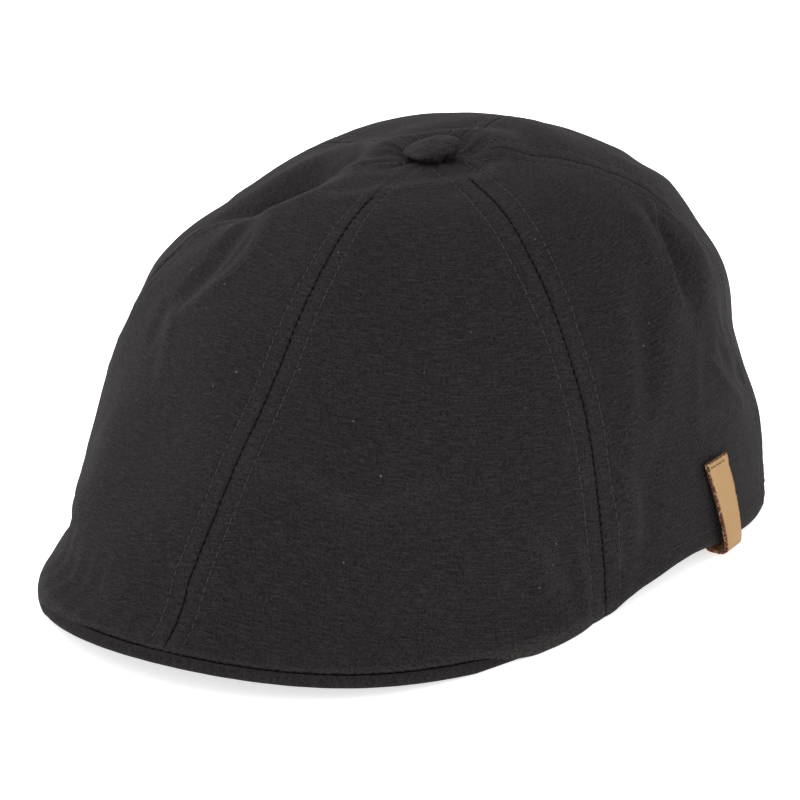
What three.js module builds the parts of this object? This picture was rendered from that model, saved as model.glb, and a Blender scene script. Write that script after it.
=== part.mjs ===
import * as THREE from 'three';

// Flat cap with a stiff duckbill brim, six crown panels, a covered button and a leather tab.
// Lengths are in millimetres. The front of the cap is -Y, the wearer's left is +X, up is +Z.
// The cap lies as it would on a table: on the back of its hem and the two sides of its brim.

// Where the cap sits in its frame
// The crown lies a little to the right of the middle, because the tab stands out on the left.
const BUTTON_X = -2;
const BUTTON_Y = 24.34;
const APEX_HEIGHT = 107;

// Cloth and sewing
const CLOTH = 1.6;
const HEM_EXTRA = 1.2;
const SEAM_GAP = 0.3;
const RING_RADIUS = 3;

// The crown is drawn by sections that stand round the upright line through the button.
// Each row is one turn away from the front, in degrees; left and right sides are mirrored.
// Each pair is the distance out from the button's line and the height over the table.
const SECTION_STEP = 20;
const SECTIONS = [
  { turn: 0, crest: [43, 103], shoulder: [73, 84], flank: [105, 54], skirt: [134, 25], rim: [147.5, 10.5] },
  { turn: 20, crest: [42, 103], shoulder: [71, 84], flank: [99, 54], skirt: [125, 24], rim: [139, 7.5] },
  { turn: 40, crest: [40, 103], shoulder: [68, 84], flank: [91, 55], skirt: [106, 27], rim: [115, 3] },
  { turn: 60, crest: [38, 103.5], shoulder: [66, 84], flank: [85, 56], skirt: [93, 28], rim: [96.5, 2.2] },
  { turn: 80, crest: [39, 104], shoulder: [66, 86], flank: [83, 57], skirt: [89, 28], rim: [91.5, 5.8] },
  { turn: 100, crest: [41, 105], shoulder: [69, 88], flank: [84.5, 58], skirt: [91, 28], rim: [92, 4.2] },
  { turn: 120, crest: [42, 105.5], shoulder: [71, 89.5], flank: [87, 58], skirt: [95, 28], rim: [97.5, 0.6] },
  { turn: 140, crest: [42, 106.5], shoulder: [74, 90.5], flank: [91.5, 58], skirt: [98, 28], rim: [100, 0] },
  { turn: 160, crest: [42, 106.5], shoulder: [75, 89.5], flank: [94.5, 57], skirt: [100.5, 28], rim: [101, 0] },
  { turn: 180, crest: [42, 106.5], shoulder: [75, 88.5], flank: [95.5, 56], skirt: [101, 27], rim: [101, 0] },
];
const STATIONS = ['crest', 'shoulder', 'flank', 'skirt', 'rim'];
const RIM_LEVEL = STATIONS.length;

// Folds and dents of the soft crown. A path runs through points of turn and level, where the
// level counts the stations down from the button: 1 crest, 2 shoulder, 3 flank, 4 skirt, 5 rim.
// A height above zero stands out of the cloth, one below zero is pressed into it.
const FOLDS = [
  { name: 'hollow behind the right shoulder', path: [[-76, 1.8], [-90, 1.65], [-112, 1.27], [-142, 0.67]], width: 34.5, height: -7 },
  { name: 'fullness of the right side', path: [[-70, 2.6], [-66, 3.1], [-62, 3.7]], width: 42, height: 4.2 },
  { name: 'dent on the right front seam', path: [[-70, 1.12], [-71, 1.24]], width: 29, height: -13.4 },
  { name: 'crest of the right front seam', path: [[-60, 0.7], [-60, 1.2], [-61, 2.0]], width: 12, height: 1.2 },
  { name: 'dent of the left rear', path: [[126, 2.4], [124, 2.9], [122, 3.3]], width: 30, height: -3.2 },
  { name: 'drape in front of the tab', path: [[82, 2.1], [76, 2.6], [71, 3.2], [69, 4.2]], width: 10, height: 1.0 },
  { name: 'drape above the tab', path: [[103, 1.75], [96, 2.3], [88, 2.7], [77, 3.3]], width: 11, height: 1.5 },
  { name: 'trough behind the drape', path: [[111, 1.8], [103, 2.1], [97, 2.4]], width: 12, height: -1.8 },
  { name: 'trough between the drapes', path: [[84, 2.3], [78, 2.9], [75, 3.5]], width: 10, height: -0.9 },
  { name: 'fold beside the left front seam', path: [[65, 3.9], [64, 4.5], [64, 4.9]], width: 10, height: 1.4 },
  { name: 'dent over the brow', path: [[-2, 2.5], [10, 2.5]], width: 26, height: -1.8 },
  { name: 'dent on the right brow', path: [[-26, 2.9], [-16, 3.3]], width: 26, height: -2.0 },
  { name: 'dent on the left brow', path: [[26, 3.9], [46, 4.2]], width: 24, height: -1.8 },
  { name: 'break above the lip', path: [[-60, 4.5], [-24, 4.5], [4, 4.45], [32, 4.5]], width: 13, height: -2.2 },
];
const FOLD_SAMPLES = 10;
const HALVINGS = 24;

// Rows and columns of one crown panel
const PANEL_SPAN = 60;
const PANEL_COLUMNS = 12;
const BODY_LEVELS = [0.25, 0.5, 0.75, 1, 1.25, 1.5, 1.75, 2, 2.25, 2.5, 2.75, 3, 3.25, 3.5, 3.75, 4, 4.25, 4.45];
const HEM_LEVELS = [4.6, 4.66, 4.85, RIM_LEVEL];
const HEM_STEP_TOP = 4.6;
const HEM_STEP_END = 4.66;
const HEM_FROM_TURN = 73;
const HEM_FULL_TURN = 80;
const LEVEL_FROM_TURN = 100;
const LEVEL_FULL_TURN = 130;

// Brim: a stiff arched crescent with a rolled edge, under the two front panels
const BRIM_END_TURN = 72;
const BRIM_COLUMNS = 48;
const BRIM_ROLL = 1.7;
const BRIM_TUCK = 0.9;
const TIP_TUCK = 3.6;
const TIP_LIFT = 0.5;
const TIP_IN_TURNS = [57, 60];
const TIP_UP_TURNS = [60, 63];
const BRIM_SLOPE = 0.15;
const BRIM_PLATE = 2.6;
const BRIM_TIP_PLATE = 1.6;
const BRIM_LEAST_WIDTH = 6;
const HEAD_HALF_WIDTH = 88;
const HEAD_FRONT = 104;
const ROLL_ANGLES = [-90, -55, -20, 15, 50, 90, 130, 168];

// Covered button on top, with the shank that passes between the panel tips
const BUTTON_RADIUS = 8.2;
const BUTTON_DOME = 6.5;
const BUTTON_LIFT = 0.3;
const SHANK_RADIUS = 2.4;
const SHANK_DEPTH = 3;
const BUTTON_FACETS = 32;
const BUTTON_PROFILE = [
  { part: 'under side', out: 0.72, up: 0.0 },
  { part: 'under side', out: 0.84, up: 0.12 },
  { part: 'edge', out: 0.94, up: 0.32 },
  { part: 'edge', out: 1.0, up: 0.52 },
  { part: 'edge', out: 0.98, up: 0.66 },
  { part: 'dome', out: 0.88, up: 0.79 },
  { part: 'dome', out: 0.68, up: 0.9 },
  { part: 'dome', out: 0.38, up: 0.98 },
];

// Leather tab on the wearer's left: a strap sewn on at its top that folds under the hem
const TAB_TURN = 94.5;
const TAB_TOP_WIDTH = 12.4;
const TAB_LOW_WIDTH = 10.2;
const TAB_THICK = 1.7;
const TAB_EDGE = 0.4;
const TAB_GAP = 0.35;
const TAB_INSIDE_GAP = 0.9;
const TAB_UNDER_GAP = 1.1;
const TAB_LEVEL = 4.5;
const TAB_REACH_LEVEL = 3;
// Each row is a height over the table and the clearance from the strap to the cloth there.
const TAB_FRONT = [
  { height: 31, clear: 0.1 },
  { height: 27, clear: 0.1 },
  { height: 22, clear: 0.5 },
  { height: 17, clear: 1.2 },
  { height: 12, clear: 1.9 },
  { height: 7, clear: 2.1 },
];
const TAB_INSIDE_TOP = 15;
const TAB_TURN_STEPS = 8;
const TAB_BEND_DEPTH = 3.2;
const TAB_BEND_SQUARE = 0.65;
// The strap leans: it is set back by this share of each millimetre below its upright height.
const TAB_LEAN = 0.17;
const TAB_UPRIGHT = 17;

// Photographed colours
const CLOTH_COLOUR = 0x2f2d2e;
const EDGE_COLOUR = 0x292728;
const LEATHER_COLOUR = 0xb38f63;

const UP = new THREE.Vector3(0, 0, 1);
const radians = THREE.MathUtils.degToRad;
const mix = THREE.MathUtils.lerp;
const ease = THREE.MathUtils.smoothstep;

// Smooth value between b and c, shaped by the values on both sides of them.
function through(a, b, c, d, t) {
  const bend = 2 * a - 5 * b + 4 * c - d + t * (3 * b - 3 * c + d - a);
  return b + 0.5 * t * (c - a + t * bend);
}

// One section row at any turn, from the table.
function sectionAt(turn) {
  const last = SECTIONS.length - 1;
  const wrapped = THREE.MathUtils.euclideanModulo(turn + 180, 360) - 180;
  const place = Math.abs(wrapped) / SECTION_STEP;
  const index = Math.min(Math.floor(place), last - 1);
  const rows = [index - 1, index, index + 1, index + 2].map((i) => SECTIONS[last - Math.abs(last - Math.abs(i))]);
  return STATIONS.map((station) => [0, 1].map((axis) => {
    const [a, b, c, d] = rows.map((row) => row[station][axis]);
    return Math.max(0, through(a, b, c, d, place - index));
  }));
}

// The curve of a section from the button down to the rim, kept for the turns already asked.
const curves = new Map();
function sectionCurve(turn) {
  const key = turn.toFixed(6);
  if (!curves.has(key)) {
    const stations = sectionAt(turn);
    const [crestOut, crestUp] = stations[0];
    const pairs = [[-crestOut, crestUp], [0, APEX_HEIGHT], ...stations];
    const points = pairs.map(([out, up]) => new THREE.Vector3(out, 0, up));
    curves.set(key, new THREE.CatmullRomCurve3(points, false, 'centripetal'));
  }
  return curves.get(key);
}

// The point at a turn, a distance out from the button's line and a height over the table.
function placeAt(turn, out, up) {
  return new THREE.Vector3(BUTTON_X + Math.sin(radians(turn)) * out, BUTTON_Y - Math.cos(radians(turn)) * out, up);
}

function outOf(point) {
  return Math.hypot(point.x - BUTTON_X, point.y - BUTTON_Y);
}

// Smooth crown before any fold: the point at a turn and level.
function smoothPoint(turn, level) {
  const along = sectionCurve(turn).getPoint((level + 1) / (RIM_LEVEL + 1));
  return placeAt(turn, along.x, along.z);
}

// Outward direction square to a surface that is given as a function of turn and level.
function squareTo(surface, turn, level) {
  const turnStep = 0.4;
  const levelStep = 0.02;
  const below = Math.min(level + levelStep, RIM_LEVEL);
  const down = surface(turn, below).sub(surface(turn, below - 2 * levelStep));
  const round = surface(turn + turnStep, level).sub(surface(turn - turnStep, level));
  return down.cross(round).normalize();
}

// Points along every fold, each with its share of the fold's height.
const foldMarks = FOLDS.map((fold) => {
  const path = new THREE.CatmullRomCurve3(fold.path.map(([turn, level]) => new THREE.Vector3(turn, level, 0)));
  return path.getPoints(FOLD_SAMPLES).map((mark, i) => ({
    point: smoothPoint(mark.x, mark.y),
    share: Math.sin(Math.PI * mix(0.25, 0.75, i / FOLD_SAMPLES)),
  }));
});

// How far all folds together lift a point of the smooth crown.
function foldLift(point) {
  return FOLDS.reduce((sum, fold, f) => {
    const shares = foldMarks[f].map((mark) => {
      const near = 1 - mark.point.distanceToSquared(point) / (fold.width * fold.width);
      return near > 0 ? mark.share * near * near : 0;
    });
    return sum + fold.height * Math.max(...shares);
  }, 0);
}

// Outer face of the crown with its folds.
function crownPoint(turn, level) {
  const point = smoothPoint(turn, level);
  const lift = foldLift(point);
  return lift === 0 ? point : point.addScaledVector(squareTo(smoothPoint, turn, level), lift);
}

// Level at which a section has come a given distance out from the button's line.
function levelAtOut(turn, out) {
  let low = 0;
  let high = 1;
  for (let step = 0; step < HALVINGS; step += 1) {
    const middle = (low + high) / 2;
    if (sectionCurve(turn).getPoint((middle + 1) / (RIM_LEVEL + 1)).x < out) low = middle;
    else high = middle;
  }
  return high;
}

// Cloth thickness: single above, turned up in a hem round the sides and the back.
function wallAt(turn, level) {
  const round = Math.abs(THREE.MathUtils.euclideanModulo(turn + 180, 360) - 180);
  const hem = ease(round, HEM_FROM_TURN, HEM_FULL_TURN) * ease(level, HEM_STEP_TOP, HEM_STEP_END);
  return CLOTH + HEM_EXTRA * hem;
}

// Inner face of the cloth. The cut edge is level where the hem stands on the table.
function liningPoint(turn, level, outer) {
  const inner = outer.clone().addScaledVector(squareTo(crownPoint, turn, level), -wallAt(turn, level));
  if (level === RIM_LEVEL) {
    const round = Math.abs(THREE.MathUtils.euclideanModulo(turn + 180, 360) - 180);
    inner.z = mix(inner.z, outer.z, ease(round, LEVEL_FROM_TURN, LEVEL_FULL_TURN));
  }
  return inner;
}

// Skin over a row of closed loops. The caller adds the faces that close its two ends.
function solidFromLoops(loops) {
  const size = loops[0].length;
  const places = loops.flat().flatMap((point) => [point.x, point.y, point.z]);
  const faces = [];
  for (let i = 0; i < loops.length - 1; i += 1) {
    for (let j = 0; j < size; j += 1) {
      const next = (j + 1) % size;
      const [a, b, c, d] = [i * size + j, i * size + next, (i + 1) * size + next, (i + 1) * size + j];
      faces.push(a, b, c, a, c, d);
    }
  }
  return { places, faces, size, count: loops.length };
}

function geometryFrom(places, faces) {
  const geometry = new THREE.BufferGeometry();
  geometry.setAttribute('position', new THREE.Float32BufferAttribute(places, 3));
  geometry.setIndex(faces);
  geometry.computeVertexNormals();
  return geometry;
}

// Signed volume, to see which way the faces of a solid look.
function volumeOf(places, faces) {
  const corner = (k) => new THREE.Vector3(places[3 * k], places[3 * k + 1], places[3 * k + 2]);
  let six = 0;
  for (let f = 0; f < faces.length; f += 3) {
    six += corner(faces[f]).dot(corner(faces[f + 1]).cross(corner(faces[f + 2])));
  }
  return six / 6;
}

// The faces turned so that they look out of the solid.
function lookingOut(places, faces) {
  if (volumeOf(places, faces) > 0) return faces;
  const turned = [];
  for (let f = 0; f < faces.length; f += 3) turned.push(faces[f], faces[f + 2], faces[f + 1]);
  return turned;
}

// One crown panel between two seams. Every row is a loop: the outer face one way round and
// the inner face back, so the two seam edges close by themselves.
function panelGeometry(firstTurn) {
  const rows = [null, ...BODY_LEVELS, ...HEM_LEVELS];
  const loops = rows.map((fixedLevel) => {
    const outerRow = [];
    const innerRow = [];
    for (let column = 0; column <= PANEL_COLUMNS; column += 1) {
      const share = column / PANEL_COLUMNS;
      const roughTurn = firstTurn + share * PANEL_SPAN;
      const level = fixedLevel === null ? levelAtOut(roughTurn, RING_RADIUS) : fixedLevel;
      const out = sectionCurve(roughTurn).getPoint((level + 1) / (RIM_LEVEL + 1)).x;
      const inset = THREE.MathUtils.radToDeg(SEAM_GAP / 2 / out);
      const turn = firstTurn + inset + share * (PANEL_SPAN - 2 * inset);
      const outer = crownPoint(turn, level);
      outerRow.push(outer);
      innerRow.unshift(liningPoint(turn, level, outer));
    }
    return [...outerRow, ...innerRow];
  });
  const { places, faces, size, count } = solidFromLoops(loops);
  for (const base of [0, (count - 1) * size]) {
    for (let j = 0; j < PANEL_COLUMNS; j += 1) {
      const [a, b] = [base + j, base + j + 1];
      const [c, d] = [base + size - 2 - j, base + size - 1 - j];
      if (base === 0) faces.push(a, c, b, a, d, c);
      else faces.push(a, b, c, a, c, d);
    }
  }
  return geometryFrom(places, lookingOut(places, faces));
}

// One slice of the brim at a turn: the rolled edge, then the plate back to the head opening.
function brimSlice(turn) {
  const rim = crownPoint(turn, RIM_LEVEL);
  const along = crownPoint(turn + 1, RIM_LEVEL).sub(crownPoint(turn - 1, RIM_LEVEL)).normalize();
  const square = squareTo(crownPoint, turn, RIM_LEVEL);
  const down = square.clone().cross(along).normalize();
  if (down.z > 0) down.negate();
  const side = along.clone().cross(UP).normalize();
  if (side.dot(placeAt(turn, 1, 0).sub(placeAt(turn, 0, 0))) < 0) side.negate();
  const tuck = mix(BRIM_TUCK, TIP_TUCK, ease(Math.abs(turn), ...TIP_IN_TURNS));
  const touching = (rim.z + down.z * SEAM_GAP - square.z * tuck) / (1 - down.z);
  const roll = Math.min(BRIM_ROLL, touching);
  const drop = mix(roll + SEAM_GAP, -TIP_LIFT, ease(Math.abs(turn), ...TIP_UP_TURNS));
  const centre = rim.clone().addScaledVector(down, drop).addScaledVector(square, -tuck);
  const slice = ROLL_ANGLES.map((angle) => centre.clone()
    .addScaledVector(side, roll * Math.cos(radians(angle)))
    .addScaledVector(UP, roll * Math.sin(radians(angle))));

  const headOut = 1 / Math.hypot(Math.sin(radians(turn)) / HEAD_HALF_WIDTH, Math.cos(radians(turn)) / HEAD_FRONT);
  const rimOut = outOf(rim);
  const innerOut = Math.min(headOut, rimOut - BRIM_LEAST_WIDTH);
  const innerHeight = centre.z - roll + BRIM_SLOPE * (rimOut - innerOut);
  const plate = mix(BRIM_PLATE, BRIM_TIP_PLATE, Math.abs(turn) / BRIM_END_TURN);
  const inner = placeAt(turn, innerOut, innerHeight);
  slice.push(inner.clone().addScaledVector(UP, plate), inner);
  return slice;
}

function brimGeometry() {
  const loops = [];
  for (let column = 0; column <= BRIM_COLUMNS; column += 1) {
    loops.push(brimSlice(mix(-BRIM_END_TURN, BRIM_END_TURN, column / BRIM_COLUMNS)));
  }
  const { places, faces, size, count } = solidFromLoops(loops);
  for (let j = 1; j < size - 1; j += 1) {
    faces.push(0, j + 1, j);
    const base = (count - 1) * size;
    faces.push(base, base + j, base + j + 1);
  }
  return geometryFrom(places, lookingOut(places, faces));
}

// The button is turned round its own line; its shank reaches just below the cloth.
function buttonGeometry() {
  const seat = APEX_HEIGHT + BUTTON_LIFT;
  const dome = BUTTON_PROFILE.map(({ out, up }) => new THREE.Vector2(out * BUTTON_RADIUS, seat + up * BUTTON_DOME));
  const profile = [
    new THREE.Vector2(0, APEX_HEIGHT - SHANK_DEPTH),
    new THREE.Vector2(SHANK_RADIUS, APEX_HEIGHT - SHANK_DEPTH),
    new THREE.Vector2(SHANK_RADIUS, seat),
    ...dome,
    new THREE.Vector2(0, seat + BUTTON_DOME),
  ];
  return new THREE.LatheGeometry(profile, BUTTON_FACETS).rotateX(Math.PI / 2).translate(BUTTON_X, BUTTON_Y, 0);
}

// Upright plane of the tab: its foot on the rim and the direction square to the cloth there.
function tabPlane() {
  const foot = crownPoint(TAB_TURN, RIM_LEVEL);
  const face = squareTo(crownPoint, TAB_TURN, TAB_LEVEL).setZ(0).normalize();
  return { foot, face };
}

// How far the cloth's outer face stands out from the rim at a height over the table.
function clothReach(height, foot, face) {
  let low = TAB_REACH_LEVEL;
  let high = RIM_LEVEL;
  for (let step = 0; step < HALVINGS; step += 1) {
    const middle = (low + high) / 2;
    if (crownPoint(TAB_TURN, middle).z > height) low = middle;
    else high = middle;
  }
  return crownPoint(TAB_TURN, low).sub(foot).dot(face);
}

// The strap's middle line in that plane: down the outside, round the hem and up the inside.
function tabLine(foot, face) {
  const half = TAB_THICK / 2;
  const front = TAB_FRONT.map(({ height, clear }) => (
    new THREE.Vector2(clothReach(height, foot, face) + TAB_GAP + clear + half, height)
  ));
  const outside = front[front.length - 1].x;
  const inside = -(CLOTH + HEM_EXTRA + TAB_INSIDE_GAP + half);
  const floor = foot.z - TAB_UNDER_GAP - half;
  const bend = [];
  for (let step = 0; step <= TAB_TURN_STEPS; step += 1) {
    const angle = (Math.PI * step) / TAB_TURN_STEPS;
    const across = Math.sign(Math.cos(angle)) * Math.abs(Math.cos(angle)) ** TAB_BEND_SQUARE;
    const drop = Math.sin(angle) ** TAB_BEND_SQUARE;
    bend.push(new THREE.Vector2(
      mix(inside, outside, (1 + across) / 2),
      floor + TAB_BEND_DEPTH * (1 - drop),
    ));
  }
  return [...front, ...bend, new THREE.Vector2(inside, TAB_INSIDE_TOP)];
}

function tabGeometry() {
  const { foot, face } = tabPlane();
  const across = UP.clone().cross(face);
  const thick = TAB_THICK / 2;
  const line = tabLine(foot, face);
  const top = TAB_FRONT[0].height;
  const loops = line.map((point, i) => {
    const half = mix(TAB_LOW_WIDTH, TAB_TOP_WIDTH, point.y / top) / 2;
    const corners = [
      [half, thick - TAB_EDGE], [half - TAB_EDGE, thick], [TAB_EDGE - half, thick], [-half, thick - TAB_EDGE],
      [-half, TAB_EDGE - thick], [TAB_EDGE - half, -thick], [half - TAB_EDGE, -thick], [half, TAB_EDGE - thick],
    ];
    const before = line[Math.max(i - 1, 0)];
    const after = line[Math.min(i + 1, line.length - 1)];
    const run = after.clone().sub(before).normalize();
    const centre = foot.clone().addScaledVector(face, point.x).setZ(point.y);
    centre.addScaledVector(across, TAB_LEAN * (TAB_UPRIGHT - point.y));
    const grain = face.clone().multiplyScalar(-run.y).addScaledVector(UP, run.x);
    return corners.map(([wide, deep]) => centre.clone().addScaledVector(across, wide).addScaledVector(grain, deep));
  });
  const { places, faces, size, count } = solidFromLoops(loops);
  for (let j = 1; j < size - 1; j += 1) {
    faces.push(0, j + 1, j);
    const base = (count - 1) * size;
    faces.push(base, base + j, base + j + 1);
  }
  return geometryFrom(places, lookingOut(places, faces));
}

function piece(name, geometry, color, roughness) {
  const mesh = new THREE.Mesh(geometry, new THREE.MeshStandardMaterial({ color, roughness, metalness: 0 }));
  mesh.name = name;
  return mesh;
}

const PANELS = [
  { name: 'front_left_panel', turn: 0 },
  { name: 'side_left_panel', turn: 60 },
  { name: 'rear_left_panel', turn: 120 },
  { name: 'rear_right_panel', turn: 180 },
  { name: 'side_right_panel', turn: 240 },
  { name: 'front_right_panel', turn: 300 },
];

const cap = new THREE.Group();
cap.name = 'flat_cap';
for (const panel of PANELS) cap.add(piece(panel.name, panelGeometry(panel.turn), CLOTH_COLOUR, 0.85));
cap.add(piece('brim', brimGeometry(), EDGE_COLOUR, 0.85));
cap.add(piece('top_button', buttonGeometry(), CLOTH_COLOUR, 0.85));
cap.add(piece('leather_tab', tabGeometry(), LEATHER_COLOUR, 0.6));

export default cap;
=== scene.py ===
# %% [markdown]
# # A dark flat cap with a leather tab
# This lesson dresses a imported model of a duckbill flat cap: six waxed cloth panels that meet
# at a covered button, a stiff arched brim and a small leather tab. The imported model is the
# frame. It fixes where everything sits, and every piece made here takes the place of one of
# its plain solids.

# %% Load the frame
import math

import bpy
import numpy as np
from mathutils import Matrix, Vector, noise


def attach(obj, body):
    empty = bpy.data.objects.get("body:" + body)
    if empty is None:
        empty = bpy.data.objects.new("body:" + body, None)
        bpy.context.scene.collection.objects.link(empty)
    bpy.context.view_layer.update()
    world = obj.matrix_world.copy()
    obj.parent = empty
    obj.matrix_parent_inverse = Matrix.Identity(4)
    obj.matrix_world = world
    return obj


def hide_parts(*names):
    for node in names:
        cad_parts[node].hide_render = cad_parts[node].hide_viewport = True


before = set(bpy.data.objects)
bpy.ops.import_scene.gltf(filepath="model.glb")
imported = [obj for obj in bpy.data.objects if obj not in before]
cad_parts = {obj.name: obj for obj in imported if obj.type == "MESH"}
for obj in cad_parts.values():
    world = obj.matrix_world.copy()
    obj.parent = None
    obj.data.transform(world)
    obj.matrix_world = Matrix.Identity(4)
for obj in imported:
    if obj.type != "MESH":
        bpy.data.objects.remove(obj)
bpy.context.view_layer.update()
MM = 0.001
print("nodes in the frame:", ", ".join(sorted(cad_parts)))

# %% [markdown]
# ## The shape of the crown
# A sewn crown is easiest to draw as a fan of upright sections that stand round the button.
# Each row below is one section: how far out and how high its crest, shoulder, flank, skirt
# and rim lie, in millimetres. Two smooth curves run through the table, one round the crown
# and one down each section. A subdivided cage would also do, but then a seam could not be
# asked for by its turn, and everything sewn on the crown needs to know where the seams are.

# %% Section table
BUTTON_X = -2.0
BUTTON_Y = 24.34
APEX_HEIGHT = 107.0
SECTION_STEP = 20.0
RIM = 5.0
# turn from the front, then out and height of crest, shoulder, flank, skirt and rim
SECTIONS = np.array([
    [0, 43, 103, 73, 84, 105, 54, 134, 25, 147.5, 10.5],
    [20, 42, 103, 71, 84, 99, 54, 125, 24, 139, 7.5],
    [40, 40, 103, 68, 84, 91, 55, 106, 27, 115, 3],
    [60, 38, 103.5, 66, 84, 85, 56, 93, 28, 96.5, 2.2],
    [80, 39, 104, 66, 86, 83, 57, 89, 28, 91.5, 5.8],
    [100, 41, 105, 69, 88, 84.5, 58, 91, 28, 92, 4.2],
    [120, 42, 105.5, 71, 89.5, 87, 58, 95, 28, 97.5, 0.6],
    [140, 42, 106.5, 74, 90.5, 91.5, 58, 98, 28, 100, 0],
    [160, 42, 106.5, 75, 89.5, 94.5, 57, 100.5, 28, 101, 0],
    [180, 42, 106.5, 75, 88.5, 95.5, 56, 101, 27, 101, 0],
])


def ease(value, start, end):
    """Smooth step from 0 at start to 1 at end."""
    share = np.clip((value - start) / (end - start), 0, 1)
    return share * share * (3 - 2 * share)


def unit(vectors):
    """Vectors scaled to a length of one."""
    return vectors / np.linalg.norm(vectors, axis=-1, keepdims=True)


def run_lengths(points):
    """Distance run along lines of points, from the first row to each row."""
    steps = np.linalg.norm(np.diff(points, axis=0), axis=-1)
    return np.concatenate([np.zeros_like(steps[:1]), np.cumsum(steps, axis=0)])


def smooth_between(a, b, c, d, t):
    """Point at share t between b and c, on a smooth curve through four knots."""
    bend = 2 * a - 5 * b + 4 * c - d + t * (3 * b - 3 * c + d - a)
    return b + 0.5 * t * (c - a + t * bend)


print(f"{len(SECTIONS)} sections, {SECTION_STEP:.0f} degrees apart")

# %% Crown surface


def side_turn(turns):
    """Turn away from the front on either side, from 0 to 180 degrees."""
    return np.abs((turns + 180) % 360 - 180)


def stations_at(turns):
    """Out and height of the five stations at any turn: shape (..., 5, 2)."""
    last = len(SECTIONS) - 1
    place = side_turn(turns) / SECTION_STEP
    index = np.minimum(place.astype(int), last - 1)
    # beyond the front and the back the rows come again as in a mirror
    rows = (SECTIONS[last - np.abs(last - np.abs(index + k)), 1:] for k in (-1, 0, 1, 2))
    value = smooth_between(*rows, (place - index)[..., None])
    return np.maximum(value, 0).reshape(*value.shape[:-1], 5, 2)


def smooth_crown(turns, levels):
    """Point of the unfolded crown at a turn and level: 0 is the button and 5 the rim."""
    turns, levels = np.broadcast_arrays(np.asarray(turns, float), np.asarray(levels, float))
    stations = stations_at(turns)
    apex = np.zeros_like(stations[..., :1, :]) + [0, APEX_HEIGHT]
    before = stations[..., :1, :] * [-1, 1]
    after = 2 * stations[..., -1:, :] - stations[..., -2:-1, :]
    knots = np.concatenate([before, apex, stations, after], axis=-2)
    index = np.clip(levels.astype(int), 0, int(RIM) - 1)
    t = (levels - index)[..., None]

    def knot(i):
        return np.take_along_axis(knots, (index + i)[..., None, None], axis=-2)[..., 0, :]

    p0, p1, p2, p3 = (knot(i) for i in range(4))
    # knots that lie far apart get a longer share of the curve, so it never loops
    d0, d1, d2 = (
        np.sqrt(np.linalg.norm(step, axis=-1, keepdims=True)) for step in (p1 - p0, p2 - p1, p3 - p2)
    )
    start = ((p1 - p0) / d0 - (p2 - p0) / (d0 + d1) + (p2 - p1) / d1) * d1
    end = ((p2 - p1) / d1 - (p3 - p1) / (d1 + d2) + (p3 - p2) / d2) * d1
    t2, t3 = t ** 2, t ** 3
    out_up = (2 * t3 - 3 * t2 + 1) * p1 + (t3 - 2 * t2 + t) * start
    out_up = out_up + (3 * t2 - 2 * t3) * p2 + (t3 - t2) * end
    angle = np.radians(turns)
    x = BUTTON_X + np.sin(angle) * out_up[..., 0]
    y = BUTTON_Y - np.cos(angle) * out_up[..., 0]
    return np.stack([x, y, out_up[..., 1]], axis=-1)


def smooth_normal(turns, levels):
    """Outward direction of the unfolded crown."""
    high = np.minimum(levels + 0.02, RIM)
    down = smooth_crown(turns, high) - smooth_crown(turns, high - 0.04)
    round_it = smooth_crown(turns + 0.4, levels) - smooth_crown(turns - 0.4, levels)
    return unit(np.cross(down, round_it))


def out_of(points):
    """Distance from the upright line through the button."""
    return np.hypot(points[..., 0] - BUTTON_X, points[..., 1] - BUTTON_Y)


rim_length = run_lengths(smooth_crown(np.arange(0, 361, 2.0), RIM))[-1]
print(f"the edge of the cloth measures {rim_length:.0f} mm round")

# %% [markdown]
# ## Folds
# Waxed cotton is stiff, so a cap that has been handled keeps a few broad dents and some soft
# upright drapes. Each fold is a short path over the crown with a width and a height, and the
# cloth is pushed out or in along it. Cloth simulation would give folds too, but not these
# folds in these places, so they are listed one by one. The first table holds the broad forms
# of the solids and the second the narrow creases, whose crests are rubbed pale by handling and
# carry a painted highlight. The third holds soft swells and hollows that are too round to rub.

# %% Fold tables
BROAD_FOLDS = (
    # path of turn and level, width, height
    ([(-76, 1.8), (-90, 1.65), (-112, 1.27), (-142, 0.67)], 34.5, -7.0),
    ([(-70, 2.6), (-66, 3.1), (-62, 3.7)], 42, 4.2),
    ([(-70, 1.12), (-71, 1.24)], 29, -13.4),
    ([(-60, 0.7), (-60, 1.2), (-61, 2.0)], 12, 1.2),
    ([(126, 2.4), (124, 2.9), (122, 3.3)], 30, -3.2),
    ([(82, 2.1), (76, 2.6), (71, 3.2), (69, 4.2)], 10, 1.0),
    ([(103, 1.75), (96, 2.3), (88, 2.7), (77, 3.3)], 11, 1.5),
    ([(111, 1.8), (103, 2.1), (97, 2.4)], 12, -1.8),
    ([(84, 2.3), (78, 2.9), (75, 3.5)], 10, -0.9),
    ([(65, 3.9), (64, 4.5), (64, 4.9)], 10, 1.4),
    ([(-2, 2.5), (10, 2.5)], 26, -1.8),
    ([(-26, 2.9), (-16, 3.3)], 26, -2.0),
    ([(26, 3.9), (46, 4.2)], 24, -1.8),
    ([(-60, 4.5), (-24, 4.5), (4, 4.45), (32, 4.5)], 13, -2.2),
)
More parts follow.
